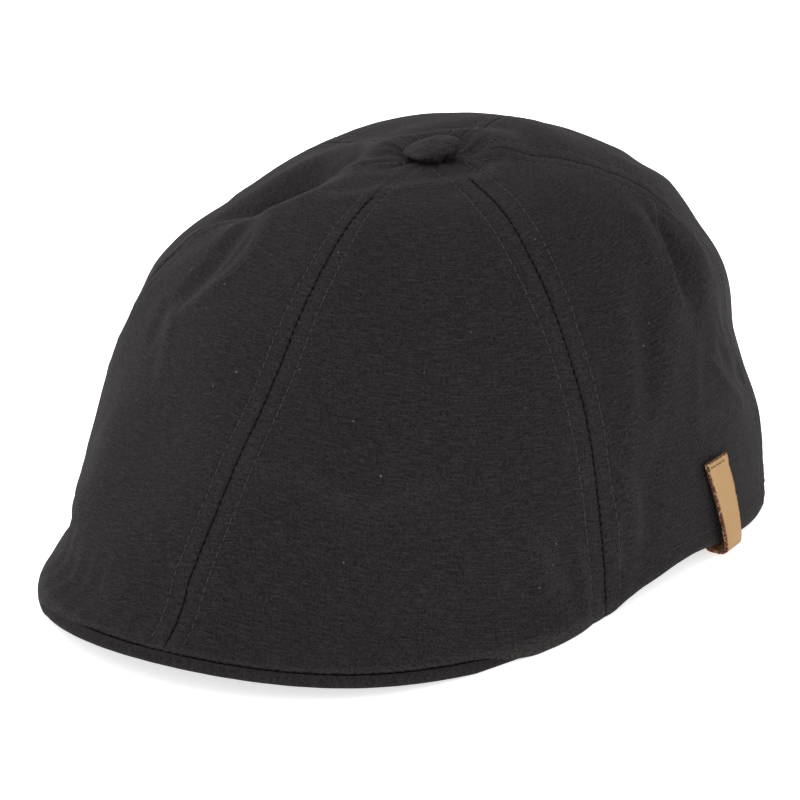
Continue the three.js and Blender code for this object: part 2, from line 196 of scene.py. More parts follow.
NARROW_FOLDS = (
    # right shoulder: crest of the seam, valley behind it, slanting crease in front of it
    ([(-60, 0.55), (-60, 1.0), (-60, 1.5), (-61, 2.0), (-63, 2.45)], 5.5, 1.2),
    ([(-74, 0.75), (-76, 1.1), (-76, 1.5), (-72, 1.9)], 10.0, -1.6),
    ([(-32, 1.4), (-27, 1.6), (-26, 1.85), (-29, 2.15), (-33, 2.35)], 4.5, 0.9),
    ([(-42, 1.5), (-38, 1.75), (-36, 2.05), (-38, 2.3)], 7.0, -1.5),
    ([(-38, 2.35), (-33, 2.6), (-28, 2.8)], 4.0, 0.5),
    ([(-42, 2.5), (-38, 2.7)], 5.0, -0.6),
    # left side above the tab
    ([(115, 1.71), (111.5, 1.77), (107, 1.89), (102, 2.05), (99, 2.21), (95, 2.45)], 2.4, 1.4),
    ([(112, 1.87), (108, 1.97), (105.5, 2.09), (103, 2.19)], 3.4, -0.9),
    ([(97, 2.4), (88, 2.6), (85, 2.75), (81, 3.0), (75, 3.4)], 6.0, 0.5),
    ([(109, 1.84), (104.5, 2.05), (99.5, 2.35)], 5.5, -1.7),
    ([(118, 1.95), (116, 2.2), (111, 2.4)], 3.5, 0.4),
    ([(82, 2.1), (77, 2.5), (72, 3.05), (68, 3.6), (69, 4.2)], 5.0, 0.35),
    ([(83, 2.35), (79, 2.8), (76, 3.1)], 6.0, -0.5),
    ([(96, 2.8), (92, 3.1), (90, 3.4)], 4.0, 0.5),
    ([(99, 3.05), (103, 3.32), (109, 3.6)], 3.0, 0.7),
    ([(110, 2.75), (111, 3.0), (113, 3.2)], 3.0, 0.5),
    ([(105, 3.05), (107, 3.2)], 5.0, -0.9),
    ([(113, 3.4), (116, 3.5)], 5.0, -0.8),
    ([(89, 3.5), (93, 3.48), (98, 3.52)], 3.5, 0.5),
    ([(67, 3.6), (68, 3.95), (68, 4.3)], 4.0, 0.7),
    ([(72.5, 3.8), (72, 4.35)], 6.0, -1.0),
    ([(64, 3.9), (62.5, 4.5)], 3.0, 0.6),
    # brow
    ([(55, 4.15), (55.5, 4.5), (55.5, 4.85)], 3.0, 0.7),
    ([(53, 4.2), (53.5, 4.8)], 3.5, -0.5),
    ([(41, 3.9), (44, 4.3), (45, 4.6)], 6.0, -0.6),
    ([(47, 3.9), (49, 4.3), (50, 4.6)], 6.0, 0.5),
    ([(2, 3.15), (10, 3.14), (16, 3.27), (20, 3.33), (26, 3.3), (31, 3.24)], 4.5, 0.45),
    ([(8, 3.4), (14, 3.45)], 6.0, -0.5),
    ([(14, 4.3), (20, 4.42), (24, 4.5), (30, 4.44)], 5.0, -1.0),
    ([(30, 4.42), (38, 4.3)], 6.0, -0.5),
    ([(-25, 4.55), (-19, 4.55), (-14, 4.5)], 8.0, -1.4),
    # edge of the flat top and the creases round the button
    ([(76, 0.55), (61, 0.53), (42, 0.51), (24, 0.53), (10, 0.57), (-2, 0.68)], 4.5, 0.55),
    ([(-2, 0.68), (-8, 0.8), (-14, 0.87), (-30, 1.0)], 4.5, 0.55),
    ([(80, 0.55), (88, 0.5), (98, 0.52)], 5.0, 0.9),
    ([(125, 0.3), (150, 0.28)], 5.0, -0.9),
    ([(-58, 0.3), (-52, 0.45), (-46, 0.6)], 3.0, 0.4),
    ([(-38, 0.42), (-22, 0.5), (-8, 0.45)], 3.0, 0.35),
    ([(20, 0.38), (45, 0.36), (65, 0.4)], 3.0, -0.35),
)
SWELLS = (
    # back and right side, out of the photograph's sight
    ([(140, 1.6), (150, 2.0), (152, 2.6)], 9.0, -1.0),
    ([(165, 2.9), (172, 3.4), (172, 4.0)], 9.0, 0.8),
    ([(-100, 2.4), (-104, 3.0), (-103, 3.7)], 8.0, 0.9),
    ([(-112, 2.2), (-114, 2.8), (-112, 3.6)], 8.0, -1.0),
    ([(-88, 2.6), (-86, 3.2), (-88, 4.0)], 7.0, -0.8),
    ([(-150, 2.4), (-156, 3.0), (-154, 3.8)], 9.0, 0.9),
    # outline and brow
    ([(112, 2.4), (133.5, 2.83)], 19.0, 3.9),
    ([(134.5, 3.38), (144.5, 3.84)], 27.0, -1.6),
    ([(-84, 2.45), (-73, 2.52)], 14.0, 1.4),
    ([(-65, 2.9), (-63, 3.15)], 14.0, -1.0),
    ([(-48, 4.62), (-40, 4.68), (-32, 4.6)], 11.0, -2.4),
    ([(41, 4.98), (52, 4.98)], 12.0, 2.4),
    ([(126, 0.45), (150, 0.46), (178, 0.48), (205, 0.48), (228, 0.45), (246, 0.4), (262, 0.36)], 10.5, 3.8),
    ([(140, 0.85), (175, 0.85), (210, 0.85)], 16.0, 1.2),
)
FOLD_SAMPLES = 24


def path_points(path):
    """Points spread evenly along a smooth path of turn and level."""
    knots = np.array([path[0], *path, path[-1]], float)
    knots[0] = 2 * knots[1] - knots[2]
    knots[-1] = 2 * knots[-2] - knots[-3]
    place = np.linspace(0, len(path) - 1, FOLD_SAMPLES)
    index = np.minimum(place.astype(int), len(path) - 2)
    return smooth_between(*(knots[index + k] for k in range(4)), (place - index)[:, None])


def fold_lift(points, folds):
    """How far a table of folds lifts each point of the unfolded crown."""
    lift = np.zeros(points.shape[:-1])
    share = np.sin(np.pi * np.linspace(0.25, 0.75, FOLD_SAMPLES))
    for path, width, height in folds:
        chart = path_points(path)
        marks = smooth_crown(chart[:, 0], chart[:, 1])
        gap = np.linalg.norm(points - marks.mean(axis=0), axis=-1)
        reach = np.linalg.norm(marks - marks.mean(axis=0), axis=-1).max() + width
        near = gap < reach
        away = points[near][:, None] - marks[None]
        close = np.clip(1 - (away ** 2).sum(axis=-1) / width ** 2, 0, None)
        lift[near] += height * (share * close ** 2).max(axis=-1, initial=0)
    return lift


print(f"folds: {len(BROAD_FOLDS)} broad, {len(NARROW_FOLDS)} narrow and {len(SWELLS)} soft ones")

# %% [markdown]
# ## Seams, puckers and unevenness
# Where two panels are joined, the cloth dips into a ditch. The seam allowances lie under the
# cloth on both sides and puff it up a little, and a row of topstitching pulls it down again.
# Thread tension also makes small puckers along the seam and in a ring round the button. All
# of it is a height that depends on the distance from the nearest seam.

# %% Seam values
PANEL_SPAN = 60.0
STITCH_PITCH = 2.6
STITCH_PULL = 0.75
DITCH_DEPTH = 0.34
DITCH_WIDTH = 0.27
# distance from the button at which the seams and their ditches begin to show, and show fully
SEAM_OPENS = (11, 21)
DITCH_OPENS = {0: (24, 38), 60: (14, 24), 120: (11, 21), 180: (11, 21)}
PUFF_HEIGHT = 0.10
PUFF_WIDTH = 1.4
GROOVE_DEPTH = 0.16
GROOVE_WIDTH = 0.6
PUCKER_PITCH = 9.0
PUCKER_HEIGHT = 0.07
SMALL_PUCKER_PITCH = 4.3
SMALL_PUCKER_HEIGHT = 0.05
PUCKER_SHIFT = 0.37
PUCKER_SLOPE = 0.35
PUCKER_WIDTH = 5
# distance of the topstitching from its seam at these levels
ROW_LEVELS = (0.4, 0.9, 1.5, 2.3, 5.0)
ROW_AWAY = {
    0: (2.6, 3.2, 4.4, 5.1, 5.2),
    60: (5.2, 6.4, 6.3, 5.5, 5.2),
    120: (4.8, 5.4, 5.4, 5.2, 5.2),
    180: (4.2, 5.0, 5.2, 5.2, 5.2),
}

LENGTH_LEVELS = np.linspace(0, RIM + 0.2, 400)
seam_lengths = {turn: run_lengths(smooth_crown(float(turn), LENGTH_LEVELS)) for turn in ROW_AWAY}
print("seams in mm:", {turn: round(float(run[-1])) for turn, run in seam_lengths.items()})

# %% Seam relief


def hump(gap, width):
    """A smooth hump: 1 where the gap is 0, fading away over the width."""
    return np.exp(-(gap / width) ** 2)


def seam_relief(turns, levels, out):
    """Height of the seams' ditches, puffs, grooves and puckers."""
    nearest = np.round(turns / PANEL_SPAN) * PANEL_SPAN
    away = out * np.radians(np.abs(turns - nearest))
    seam = np.rint(side_turn(nearest)).astype(int)
    along = np.zeros_like(out)
    row = np.zeros_like(out)
    ditch_shows = np.zeros_like(out)
    for seam_turn, lengths in seam_lengths.items():
        here = seam == seam_turn
        along[here] = np.interp(levels[here], LENGTH_LEVELS, lengths)
        row[here] = np.interp(levels[here], ROW_LEVELS, ROW_AWAY[seam_turn])
        ditch_shows[here] = ease(out[here], *DITCH_OPENS[seam_turn])
    run = 2 * np.pi * along
    pull = 1 + STITCH_PULL * np.cos(run / STITCH_PITCH)
    ditch = -DITCH_DEPTH * pull * hump(away, DITCH_WIDTH) * ditch_shows
    puff = PUFF_HEIGHT * hump(away - row / 2, PUFF_WIDTH)
    groove = -GROOVE_DEPTH * hump(away - row, GROOVE_WIDTH)
    phase = nearest * PUCKER_SHIFT
    pucker = PUCKER_HEIGHT * np.sin(run / PUCKER_PITCH + phase + PUCKER_SLOPE * away)
    pucker = pucker + SMALL_PUCKER_HEIGHT * np.sin(run / SMALL_PUCKER_PITCH - phase)
    pucker = pucker * hump(away - row / 2, PUCKER_WIDTH)
    return (ditch + puff + groove + pucker) * ease(out, *SEAM_OPENS)


print(f"the ditches are up to {DITCH_DEPTH * (1 + STITCH_PULL):.2f} mm deep")

# %% Puckers round the button and uneven cloth
# count round the button, height, shift
RING_PUCKERS = ((7, 0.22, 0.3), (11, 0.16, 1.9), (17, 0.10, 4.0), (23, 0.06, 0.7))
RING_PUCKERS_OUT = 10
RING_PUCKERS_WIDTH = 7.5
# height, size, place in the noise
UNEVEN_WAVES = ((0.34, 21, 0), (0.13, 8, 50))


def ring_relief(turns, out):
    """Small radial puckers that run out from under the button."""
    angle = np.radians(turns)
    waves = sum(height * np.cos(count * angle + shift) for count, height, shift in RING_PUCKERS)
    return waves * hump(out - RING_PUCKERS_OUT, RING_PUCKERS_WIDTH)


def unevenness(points):
    """Gentle random hollows and swells that no sewn cloth is free of."""
    values = [
        sum(height * noise.noise(Vector(p / size + shift)) for height, size, shift in UNEVEN_WAVES)
        for p in points.reshape(-1, 3)
    ]
    return np.array(values).reshape(points.shape[:-1])


print(f"{len(RING_PUCKERS)} sets of puckers round the button, {len(UNEVEN_WAVES)} sizes of unevenness")

# %% The sewn crown
EDGE_BEND = 5.0
UNEVEN_FADE = (-0.05, 0.25)


def crown(turns, levels, fine=True):
    """The crown as sewn: its points, outward directions and how far they stand proud."""
    turns, levels = np.broadcast_arrays(np.asarray(turns, float), np.asarray(levels, float))
    points = smooth_crown(turns, levels)
    normals = smooth_normal(turns, levels)
    lift = fold_lift(points, BROAD_FOLDS)
    proud = np.zeros_like(lift)
    if fine:
        out = out_of(points)
        proud = fold_lift(points, NARROW_FOLDS) + seam_relief(turns, levels, out)
        small = (ring_relief(turns, out) + unevenness(points)) * ease(RIM - levels, *UNEVEN_FADE)
        lift = lift + fold_lift(points, SWELLS) + small
    # what runs past the rim's line is bent inwards round an arc
    past = points - smooth_crown(turns, np.minimum(levels, RIM))
    reach = np.linalg.norm(past, axis=-1, keepdims=True)
    down = past / np.maximum(reach, 1e-9)
    angle = reach / EDGE_BEND
    bent = down * np.sin(angle) - normals * (1 - np.cos(angle))
    points = points - past + EDGE_BEND * bent + normals * (lift + proud)[..., None]
    return points, normals * np.cos(angle) + down * np.sin(angle), proud


front_lip = crown(np.array([0.0]), RIM)[0][0]
print(f"the cloth ends {front_lip[2]:.1f} mm over the table in front")

# %% [markdown]
# ## Meshes from grids
# Every shell here is a grid of points that is rolled into a closed skin: the outer face, a
# rounded edge, then the inner face back again. The grid also stores how far each point lies
# across and along its cloth, in an attribute called grain, so that the weave can follow the
# cut of the panel without any image or unwrapping.

# %% Mesh helpers


def grid_quads(rows, columns):
    """Quads between neighbouring rows and columns of a grid."""
    corner = np.arange((rows - 1) * columns).reshape(rows - 1, columns)[:, :-1].ravel()
    return np.stack([corner, corner + 1, corner + columns + 1, corner + columns], axis=1)


def loft_faces(rings, sides, first=0):
    """Quads between neighbouring closed rings, and a lid on both ends."""
    index = first + np.arange(rings * sides).reshape(rings, sides)
    beside = np.roll(index, -1, axis=1)
    quads = np.stack([index[:-1], beside[:-1], beside[1:], index[1:]], axis=-1)
    return [*quads.reshape(-1, 4).tolist(), index[0, ::-1].tolist(), index[-1].tolist()]


def turn_faces_out(mesh):
    """Flips the faces if the closed mesh is inside out."""
    mesh.calc_loop_triangles()
    corners = np.empty(len(mesh.loop_triangles) * 3, int)
    mesh.loop_triangles.foreach_get("vertices", corners)
    places = np.empty(len(mesh.vertices) * 3)
    mesh.vertices.foreach_get("co", places)
    a, b, c = (places.reshape(-1, 3)[corners.reshape(-1, 3)[:, i]] for i in range(3))
    if np.einsum("ij,ij->i", a, np.cross(b, c)).sum() < 0:
        mesh.flip_normals()


def make_mesh(name, points, faces, finish, attributes=None):
    """A smooth closed object from points in millimetres, with its finish and attributes."""
    mesh = bpy.data.meshes.new(name)
    places = (points * MM).reshape(-1, 3)
    mesh.from_pydata(places.tolist(), [], [list(map(int, face)) for face in faces])
    mesh.shade_smooth()
    for key, values in (attributes or {}).items():
        is_vector = values.ndim == points.ndim
        layer = mesh.attributes.new(key, "FLOAT_VECTOR" if is_vector else "FLOAT", "POINT")
        layer.data.foreach_set("vector" if is_vector else "value", values.ravel())
    mesh.validate()
    turn_faces_out(mesh)
    mesh.materials.append(finish)
    piece = bpy.data.objects.new(name, mesh)
    bpy.context.scene.collection.objects.link(piece)
    return piece


print("a square tube has", len(loft_faces(2, 4)), "faces")

# %% [markdown]
# ## Node helpers
# The finishes are node trees. A few small helpers keep them readable: they add a node with
# its settings, do sums on sockets or numbers, mix colours and close the tree with a shader.

# %% Node helpers


def new_material(name):
    """An empty node material and its tree."""
    material = bpy.data.materials.new(name)
    material.use_nodes = True
    material.node_tree.nodes.clear()
    return material, material.node_tree


def add_node(tree, kind, inputs=None, **settings):
    """One node with its settings; an input may be a value or another node's socket."""
    node = tree.nodes.new(kind)
    for key, value in settings.items():
        setattr(node, key, value)
    for key, value in (inputs or {}).items():
        if isinstance(value, bpy.types.NodeSocket):
            tree.links.new(value, node.inputs[key])
        else:
            node.inputs[key].default_value = value
    return node


def stored(tree, name, output="Fac"):
    """A value that the mesh keeps in an attribute."""
    return add_node(tree, "ShaderNodeAttribute", attribute_name=name).outputs[output]


def math_node(tree, operation, first, second=0.0, third=0.0):
    """The result of one sum on sockets or numbers."""
    node = add_node(tree, "ShaderNodeMath", {0: first, 1: second, 2: third}, operation=operation)
    return node.outputs[0]


def weighted_sum(tree, *terms):
    """Several values added up, each times its share."""
    total = 0.0
    for value, share in terms:
        total = math_node(tree, "MULTIPLY_ADD", value, share, total)
    return total


def remap(tree, value, low, high, start=0.0, end=1.0):
    """A value between low and high, spread out from start to end."""
    sockets = {0: value, 1: low, 2: high, 3: start, 4: end}
    return add_node(tree, "ShaderNodeMapRange", sockets).outputs[0]


def blend_colours(tree, share, first, second, kind="MIX"):
    """A mix of two colours."""
    node = tree.nodes.new("ShaderNodeMix")
    node.data_type = "RGBA"
    node.blend_type = kind
    colours = [socket for socket in node.inputs if socket.type == "RGBA"]
    for socket, value in ((node.inputs[0], share), (colours[0], first), (colours[1], second)):
        if isinstance(value, bpy.types.NodeSocket):
            tree.links.new(value, socket)
        else:
            socket.default_value = value
    return [socket for socket in node.outputs if socket.type == "RGBA"][0]


def stretched_noise(tree, grain, scale, detail=2.0):
    """Noise drawn out along one thread direction; scale is per millimetre on each axis."""
    mapped = add_node(tree, "ShaderNodeMapping", {"Vector": grain, "Scale": scale})
    settings = {"Vector": mapped.outputs[0], "Scale": 1.0, "Detail": detail, "Roughness": 0.6}
    return add_node(tree, "ShaderNodeTexNoise", settings).outputs["Fac"]


def close_tree(tree, settings):
    """The surface shader with these settings, led to the material's output."""
    shader = add_node(tree, "ShaderNodeBsdfPrincipled", settings)
    add_node(tree, "ShaderNodeOutputMaterial", {0: shader.outputs[0]})


# %% [markdown]
# ## Waxed cloth
# The cloth is a tight plain weave of charcoal cotton with uneven threads, a dull waxy sheen
# and a few specks of lint. Its threads are two sine waves crossed at right angles. The uneven
# slubs are noise pulled out long and thin, once along each thread direction. Everything is
# measured on the grain attribute in millimetres, so the scale of the weave is real.

# %% Weave and slubs
THREAD_PITCH = 0.62
THREAD_WANDER = 0.5
WANDER_SCALE = (0.35, 0.35, 0.35)
SLUB_ALONG_SCALE = (2.2, 0.4, 1.0)
SLUB_ACROSS_SCALE = (0.22, 2.3, 1.0)
SLUB_ALONG_FEWER = 0.05
SLUB_SHOWS = (0.46, 0.72)


def weave_pattern(tree, grain):
    """Two sets of threads that cross at right angles and wander a little."""
    wander = math_node(tree, "MULTIPLY", stretched_noise(tree, grain, WANDER_SCALE), THREAD_WANDER)
    ways = add_node(tree, "ShaderNodeSeparateXYZ", {0: grain}).outputs
    threads = []
    for way in (ways[0], ways[1]):
        turn = math_node(tree, "MULTIPLY", math_node(tree, "ADD", way, wander), math.pi / THREAD_PITCH)
        threads.append(math_node(tree, "SINE", turn))
    return math_node(tree, "MULTIPLY", *threads)


def slub_pattern(tree, grain):
    """Thick uneven stretches of thread in both directions."""
    along = stretched_noise(tree, grain, SLUB_ALONG_SCALE, 3.0)
    across = stretched_noise(tree, grain, SLUB_ACROSS_SCALE, 3.0)
    along = math_node(tree, "SUBTRACT", along, SLUB_ALONG_FEWER)
    return remap(tree, math_node(tree, "MAXIMUM", along, across), *SLUB_SHOWS)


print(f"{10 / THREAD_PITCH:.0f} threads to the centimetre")

# %% Lint
LINT = (0.30, 0.29, 0.27, 1)
LINT_CELLS_PER_METRE = 160.0
LINT_RAGGED_SCALE = 2500.0
LINT_RAGGED = 0.07
LINT_REACH = (0.095, 0.06)
LINT_RARE = 0.6
LINT_SEEN = 0.4


def lint_pattern(tree):
    """Ragged specks: space is cut into cells, and a few cells get a dot in their middle."""
    place = add_node(tree, "ShaderNodeTexCoord").outputs["Object"]
    ragged = add_node(
        tree, "ShaderNodeTexNoise", {"Vector": place, "Scale": LINT_RAGGED_SCALE, "Detail": 1.0}
    ).outputs["Fac"]
    cells = add_node(
        tree, "ShaderNodeTexVoronoi", {"Vector": place, "Scale": LINT_CELLS_PER_METRE}, feature="F1"
    ).outputs
    reach = math_node(tree, "MULTIPLY_ADD", ragged, LINT_RAGGED, cells["Distance"])
    dot = remap(tree, reach, *LINT_REACH)
    drawn = add_node(tree, "ShaderNodeSeparateColor", {0: cells["Color"]}).outputs
    chosen = math_node(tree, "GREATER_THAN", drawn[0], LINT_RARE)
    seen = math_node(tree, "MULTIPLY", drawn[1], LINT_SEEN)
    return math_node(tree, "MULTIPLY", math_node(tree, "MULTIPLY", dot, chosen), seen)


print(f"{1 - LINT_RARE:.0%} of the cells can hold a speck")

# %% Cloth finish
CLOTH_DARK = (0.0068, 0.0060, 0.0063, 1)
CLOTH_LIGHT = (0.0325, 0.0293, 0.0295, 1)
# worn tint: real wear on the rim and seams, and a painted highlight on the crests
CLOTH_WORN_AND_HIGHLIGHT = (0.048, 0.0442, 0.0425, 1)
CLOTH_SHEEN = (0.68, 0.61, 0.55, 1)
CLOUD_SCALE = (0.03, 0.03, 0.03)
FLECK_SCALE = (1.2, 1.2, 1.0)
FLECK_SHOWS = (0.34, 0.66)
CLOTH_TONES = (0.12, 1.0)
THREAD_RELIEF = 0.00015
# share of the crown cloth's colour on the brim's cloth: it is darkened as painted shade
BRIM_PAINTED_SHADE = 0.82
# share of the crown cloth's colour on the button's cloth: it is lightened as painted light
BUTTON_PAINTED_LIGHT = 1.06


def cloth_material(name, painted_lighting=1.0):
    """Waxed plain weave with slubs, lint and a worn tint that on crests is also a painted highlight; a share
    other than 1 scales the whole colour, as painted shade below 1 and painted light above 1.
    """
    material, tree = new_material(name)
    grain = stored(tree, "grain", "Vector")
    weave = weave_pattern(tree, grain)
    slubs = slub_pattern(tree, grain)
    cloud = stretched_noise(tree, grain, CLOUD_SCALE, 4.0)
    fleck = remap(tree, stretched_noise(tree, grain, FLECK_SCALE, 3.0), *FLECK_SHOWS)
    amount = weighted_sum(tree, (weave, 0.06), (slubs, 0.5), (cloud, 0.25), (fleck, 0.34))
    colour = blend_colours(tree, remap(tree, amount, *CLOTH_TONES), CLOTH_DARK, CLOTH_LIGHT)
    # wear takes the flecks first, so that it looks rubbed and not painted on; on the crown's crests the same
    # worn tint is also a painted highlight
    ragged_wear = math_node(tree, "MULTIPLY_ADD", fleck, 0.9, 0.1)
    rubbed = math_node(tree, "MULTIPLY", stored(tree, "wear"), ragged_wear)
    colour = blend_colours(tree, rubbed, colour, CLOTH_WORN_AND_HIGHLIGHT)
    colour = blend_colours(tree, lint_pattern(tree), colour, LINT)
    # a whole copy of the cloth darkened or lightened: painted shade below 1, painted light above 1
    if painted_lighting != 1.0:
        colour = blend_colours(tree, 1.0, colour, (painted_lighting, painted_lighting, painted_lighting, 1), "MULTIPLY")
    height = weighted_sum(tree, (weave, 0.26), (slubs, 0.5), (fleck, 0.5))
    bump = add_node(tree, "ShaderNodeBump", {"Height": height, "Distance": THREAD_RELIEF, "Strength": 0.8})
    close_tree(tree, {
        "Base Color": colour,
        "Roughness": remap(tree, cloud, 0.3, 0.7, 0.76, 0.92),
        "Normal": bump.outputs[0],
        "Specular IOR Level": 0.05,
        "Sheen Weight": 0.02,
        "Sheen Roughness": 0.4,
        "Sheen Tint": CLOTH_SHEEN,
    })
    return material


crown_cloth = cloth_material("waxed_cloth")
# the brim's copy is darkened as painted shade and the button's copy lightened as painted light
brim_cloth_painted_shade = cloth_material("waxed_cloth_of_brim_painted_shade", BRIM_PAINTED_SHADE)
button_cloth_painted_light = cloth_material("waxed_cloth_of_button_painted_light", BUTTON_PAINTED_LIGHT)
print("three cloth finishes,", len(crown_cloth.node_tree.nodes), "nodes in the first")

# %% [markdown]
# ## Thread
# Each row of stitches is real geometry: small bent tubes that come out of the cloth, lie on
# it for two millimetres and go back in. A dashed line painted on would vanish in side light.

# %% Thread finish
# near-black, shine-free thread for the ditches: in the seams it is painted shade standing for the ditch's
# dark dashes, along the brim partly the thread's own colour and partly painted shade
THREAD_BLACK_PAINTED_SHADE = (0.004, 0.004, 0.004, 1)
THREAD_CHARCOAL = (0.050, 0.047, 0.044, 1)
THREAD_HEM = (0.034, 0.032, 0.030, 1)
THREAD_TAN = (0.21, 0.12, 0.045, 1)
STRAND_SCALE = 1100.0
STRAND_TONES = (0.55, 1.35)


def thread_material(name, colour, shine=0.12):
    """Twisted thread: uneven strands and a soft shine."""
    material, tree = new_material(name)
    place = add_node(tree, "ShaderNodeTexCoord").outputs["Object"]
    strands = add_node(
        tree, "ShaderNodeTexNoise", {"Vector": place, "Scale": STRAND_SCALE, "Detail": 2.0}
    ).outputs["Fac"]
    tones = (tuple(share * value for value in colour[:3]) + (1,) for share in STRAND_TONES)
    bump = add_node(tree, "ShaderNodeBump", {"Height": strands, "Distance": 0.0001, "Strength": 0.5})
    close_tree(tree, {
        "Base Color": blend_colours(tree, strands, *tones),
        "Roughness": 0.7,
        "Normal": bump.outputs[0],
        "Specular IOR Level": shine,
    })
    return material


ditch_thread_painted_shade = thread_material("ditch_thread_painted_shade", THREAD_BLACK_PAINTED_SHADE, 0.02)
charcoal_thread = thread_material("charcoal_thread", THREAD_CHARCOAL)
hem_thread = thread_material("hem_thread", THREAD_HEM)
tan_thread = thread_material("tan_thread", THREAD_TAN, 0.3)
print("four threads made")

# %% Stitch maker
STITCH_LENGTH = 2.15
THREAD_RADIUS = 0.13
TUBE_SIDES = 6
TUBE_RINGS = 7
# spread of the start and length along the row, and of the place beside it
START_STRAY = 0.06
LENGTH_STRAY = 0.05
SIDE_STRAY = 0.05
# height over the cloth as a share of the radius, how far the ends dive, how much they thin out
THREAD_UP = 0.75
THREAD_DIVE = 2.1
THREAD_TAPER = 0.45


def stitches_along(points, normals, length=STITCH_LENGTH, pitch=STITCH_PITCH, radius=THREAD_RADIUS, seed=1):
    """Points and faces of a row of stitches on a line that lies on the cloth."""
    place = run_lengths(points)
    count = int((place[-1] - length) / pitch)
    chance = np.random.default_rng(seed)
    starts = pitch * (np.arange(count) + 0.5) + chance.normal(0, START_STRAY, count)
    lengths = length * (1 + chance.normal(0, LENGTH_STRAY, count))
    share = np.linspace(-1, 1, TUBE_RINGS)
    at = starts[:, None] + lengths[:, None] * share / 2

    def sample(values):
        return np.stack([np.interp(at, place, values[:, k]) for k in range(3)], axis=-1)

    spine = sample(points)
    up = unit(sample(normals))
    side = unit(np.cross(unit(np.gradient(spine, axis=1)), up))
    height = radius * (THREAD_UP - THREAD_DIVE * share ** 4)
    spine = spine + up * height[None, :, None]
    spine = spine + side * chance.normal(0, SIDE_STRAY, (count, 1, 1))
    thick = radius * (1 - THREAD_TAPER * share ** 6)
    angle = 2 * np.pi * np.arange(TUBE_SIDES) / TUBE_SIDES
    ring = side[:, :, None] * np.cos(angle)[:, None] + up[:, :, None] * np.sin(angle)[:, None]
    skin = spine[:, :, None] + ring * thick[None, :, None, None]
    faces = []
    for number in range(count):
        faces.extend(loft_faces(TUBE_RINGS, TUBE_SIDES, number * TUBE_RINGS * TUBE_SIDES))
    return skin.reshape(-1, 3), faces


def join_rows(rows):
    """One list of points and faces from several rows of stitches."""
    points = np.concatenate([row[0] for row in rows])
    faces = []
    offset = 0
    for skin, quads in rows:
        faces.extend(tuple(corner + offset for corner in face) for face in quads)
        offset += len(skin)
    return points, faces


print(f"a stitch is {STITCH_LENGTH} mm long, and one starts every {STITCH_PITCH} mm")

# %% [markdown]
# ## The six crown panels
# Each panel is cut wide at the rim and comes to a point under the button. Its grid is finest
# beside the seams, where the ditch and the topstitching need it. At the sides and the back
# the rim is turned up into a thick hem; in front a single layer runs out over the brim, and
# towards the brim's corners it is drawn over the edge.

# %% Cloth at the rim
CLOTH_THICK = 1.6
HEM_EXTRA = 1.2
HEM_TURNS = (73, 80)
HEM_LEVELS = (4.52, 4.58)
OVERHANG = 7.4
OVERHANG_LEFT = (34, 48)
OVERHANG_RIGHT = (9, 29)
OVERHANG_ENDS = (58, 66)
OVERHANG_STEEPNESS = 0.95
FLOOR_GAP = 0.2
HEM_SAG = 2.5
HEM_SAG_TURN = 104.0
HEM_SAG_HALF = 20.0


def wall_thickness(turns, levels):
    """Thickness of the cloth, with the hem's second layer."""
    hem = ease(side_turn(turns), *HEM_TURNS) * ease(levels, *HEM_LEVELS)
    return CLOTH_THICK + HEM_EXTRA * hem


def brim_covered(turns, left=OVERHANG_LEFT):
    """How far the crown is drawn over the edge of the brim: 0 at the lip, 1 at its corners."""
    signed = (turns + 180) % 360 - 180
    return ease(signed, *left) + ease(-signed, *OVERHANG_RIGHT)


def rim_reach(turns):
    """Millimetres that the cloth runs past the rim's line: over the brim, and in the sagging hem."""
    height = stations_at(turns)[..., 4, 1]
    full = np.minimum(OVERHANG, np.maximum(height - FLOOR_GAP, 0) / OVERHANG_STEEPNESS)
    over_brim = full * brim_covered(turns) * (1 - ease(side_turn(turns), *OVERHANG_ENDS))
    apart = (turns - HEM_SAG_TURN) / HEM_SAG_HALF
    return over_brim + HEM_SAG * np.clip(1 - apart ** 2, 0, None) ** 2


reach_corner, reach_hem = rim_reach(np.array([55.0, HEM_SAG_TURN]))
print(f"the cloth hangs {reach_corner:.1f} mm over at a brim corner and {reach_hem:.1f} mm at the tab")

# %% Panel grid
RING_RADIUS = 3.0
# columns beside each seam, in millimetres from it
EDGE_MM = np.array([
    0.02, 0.12, 0.25, 0.4, 0.6, 0.9, 1.4, 2.0, 2.6, 3.2, 3.8, 4.4, 4.9, 5.3, 5.8, 6.4, 7.1, 8.0,
])
EDGE_MOST = 0.4
MIDDLE_COLUMNS = 58
LEVEL_ROWS = (34, 28, 34, 30, 26)
RIM_PULLED_FROM = 4.0


def panel_columns(width):
    """Shares across a panel, close together beside both seams, for rows of these widths."""
    squeeze = np.minimum(1, EDGE_MOST * width / EDGE_MM[-1])[:, None]
    left = EDGE_MM[None] * squeeze / width[:, None]
    inner = np.linspace(0, 1, MIDDLE_COLUMNS + 2)[1:-1]
    middle = left[:, -1:] + (1 - 2 * left[:, -1:]) * inner
    return np.concatenate([left, middle, 1 - left[:, ::-1]], axis=1)


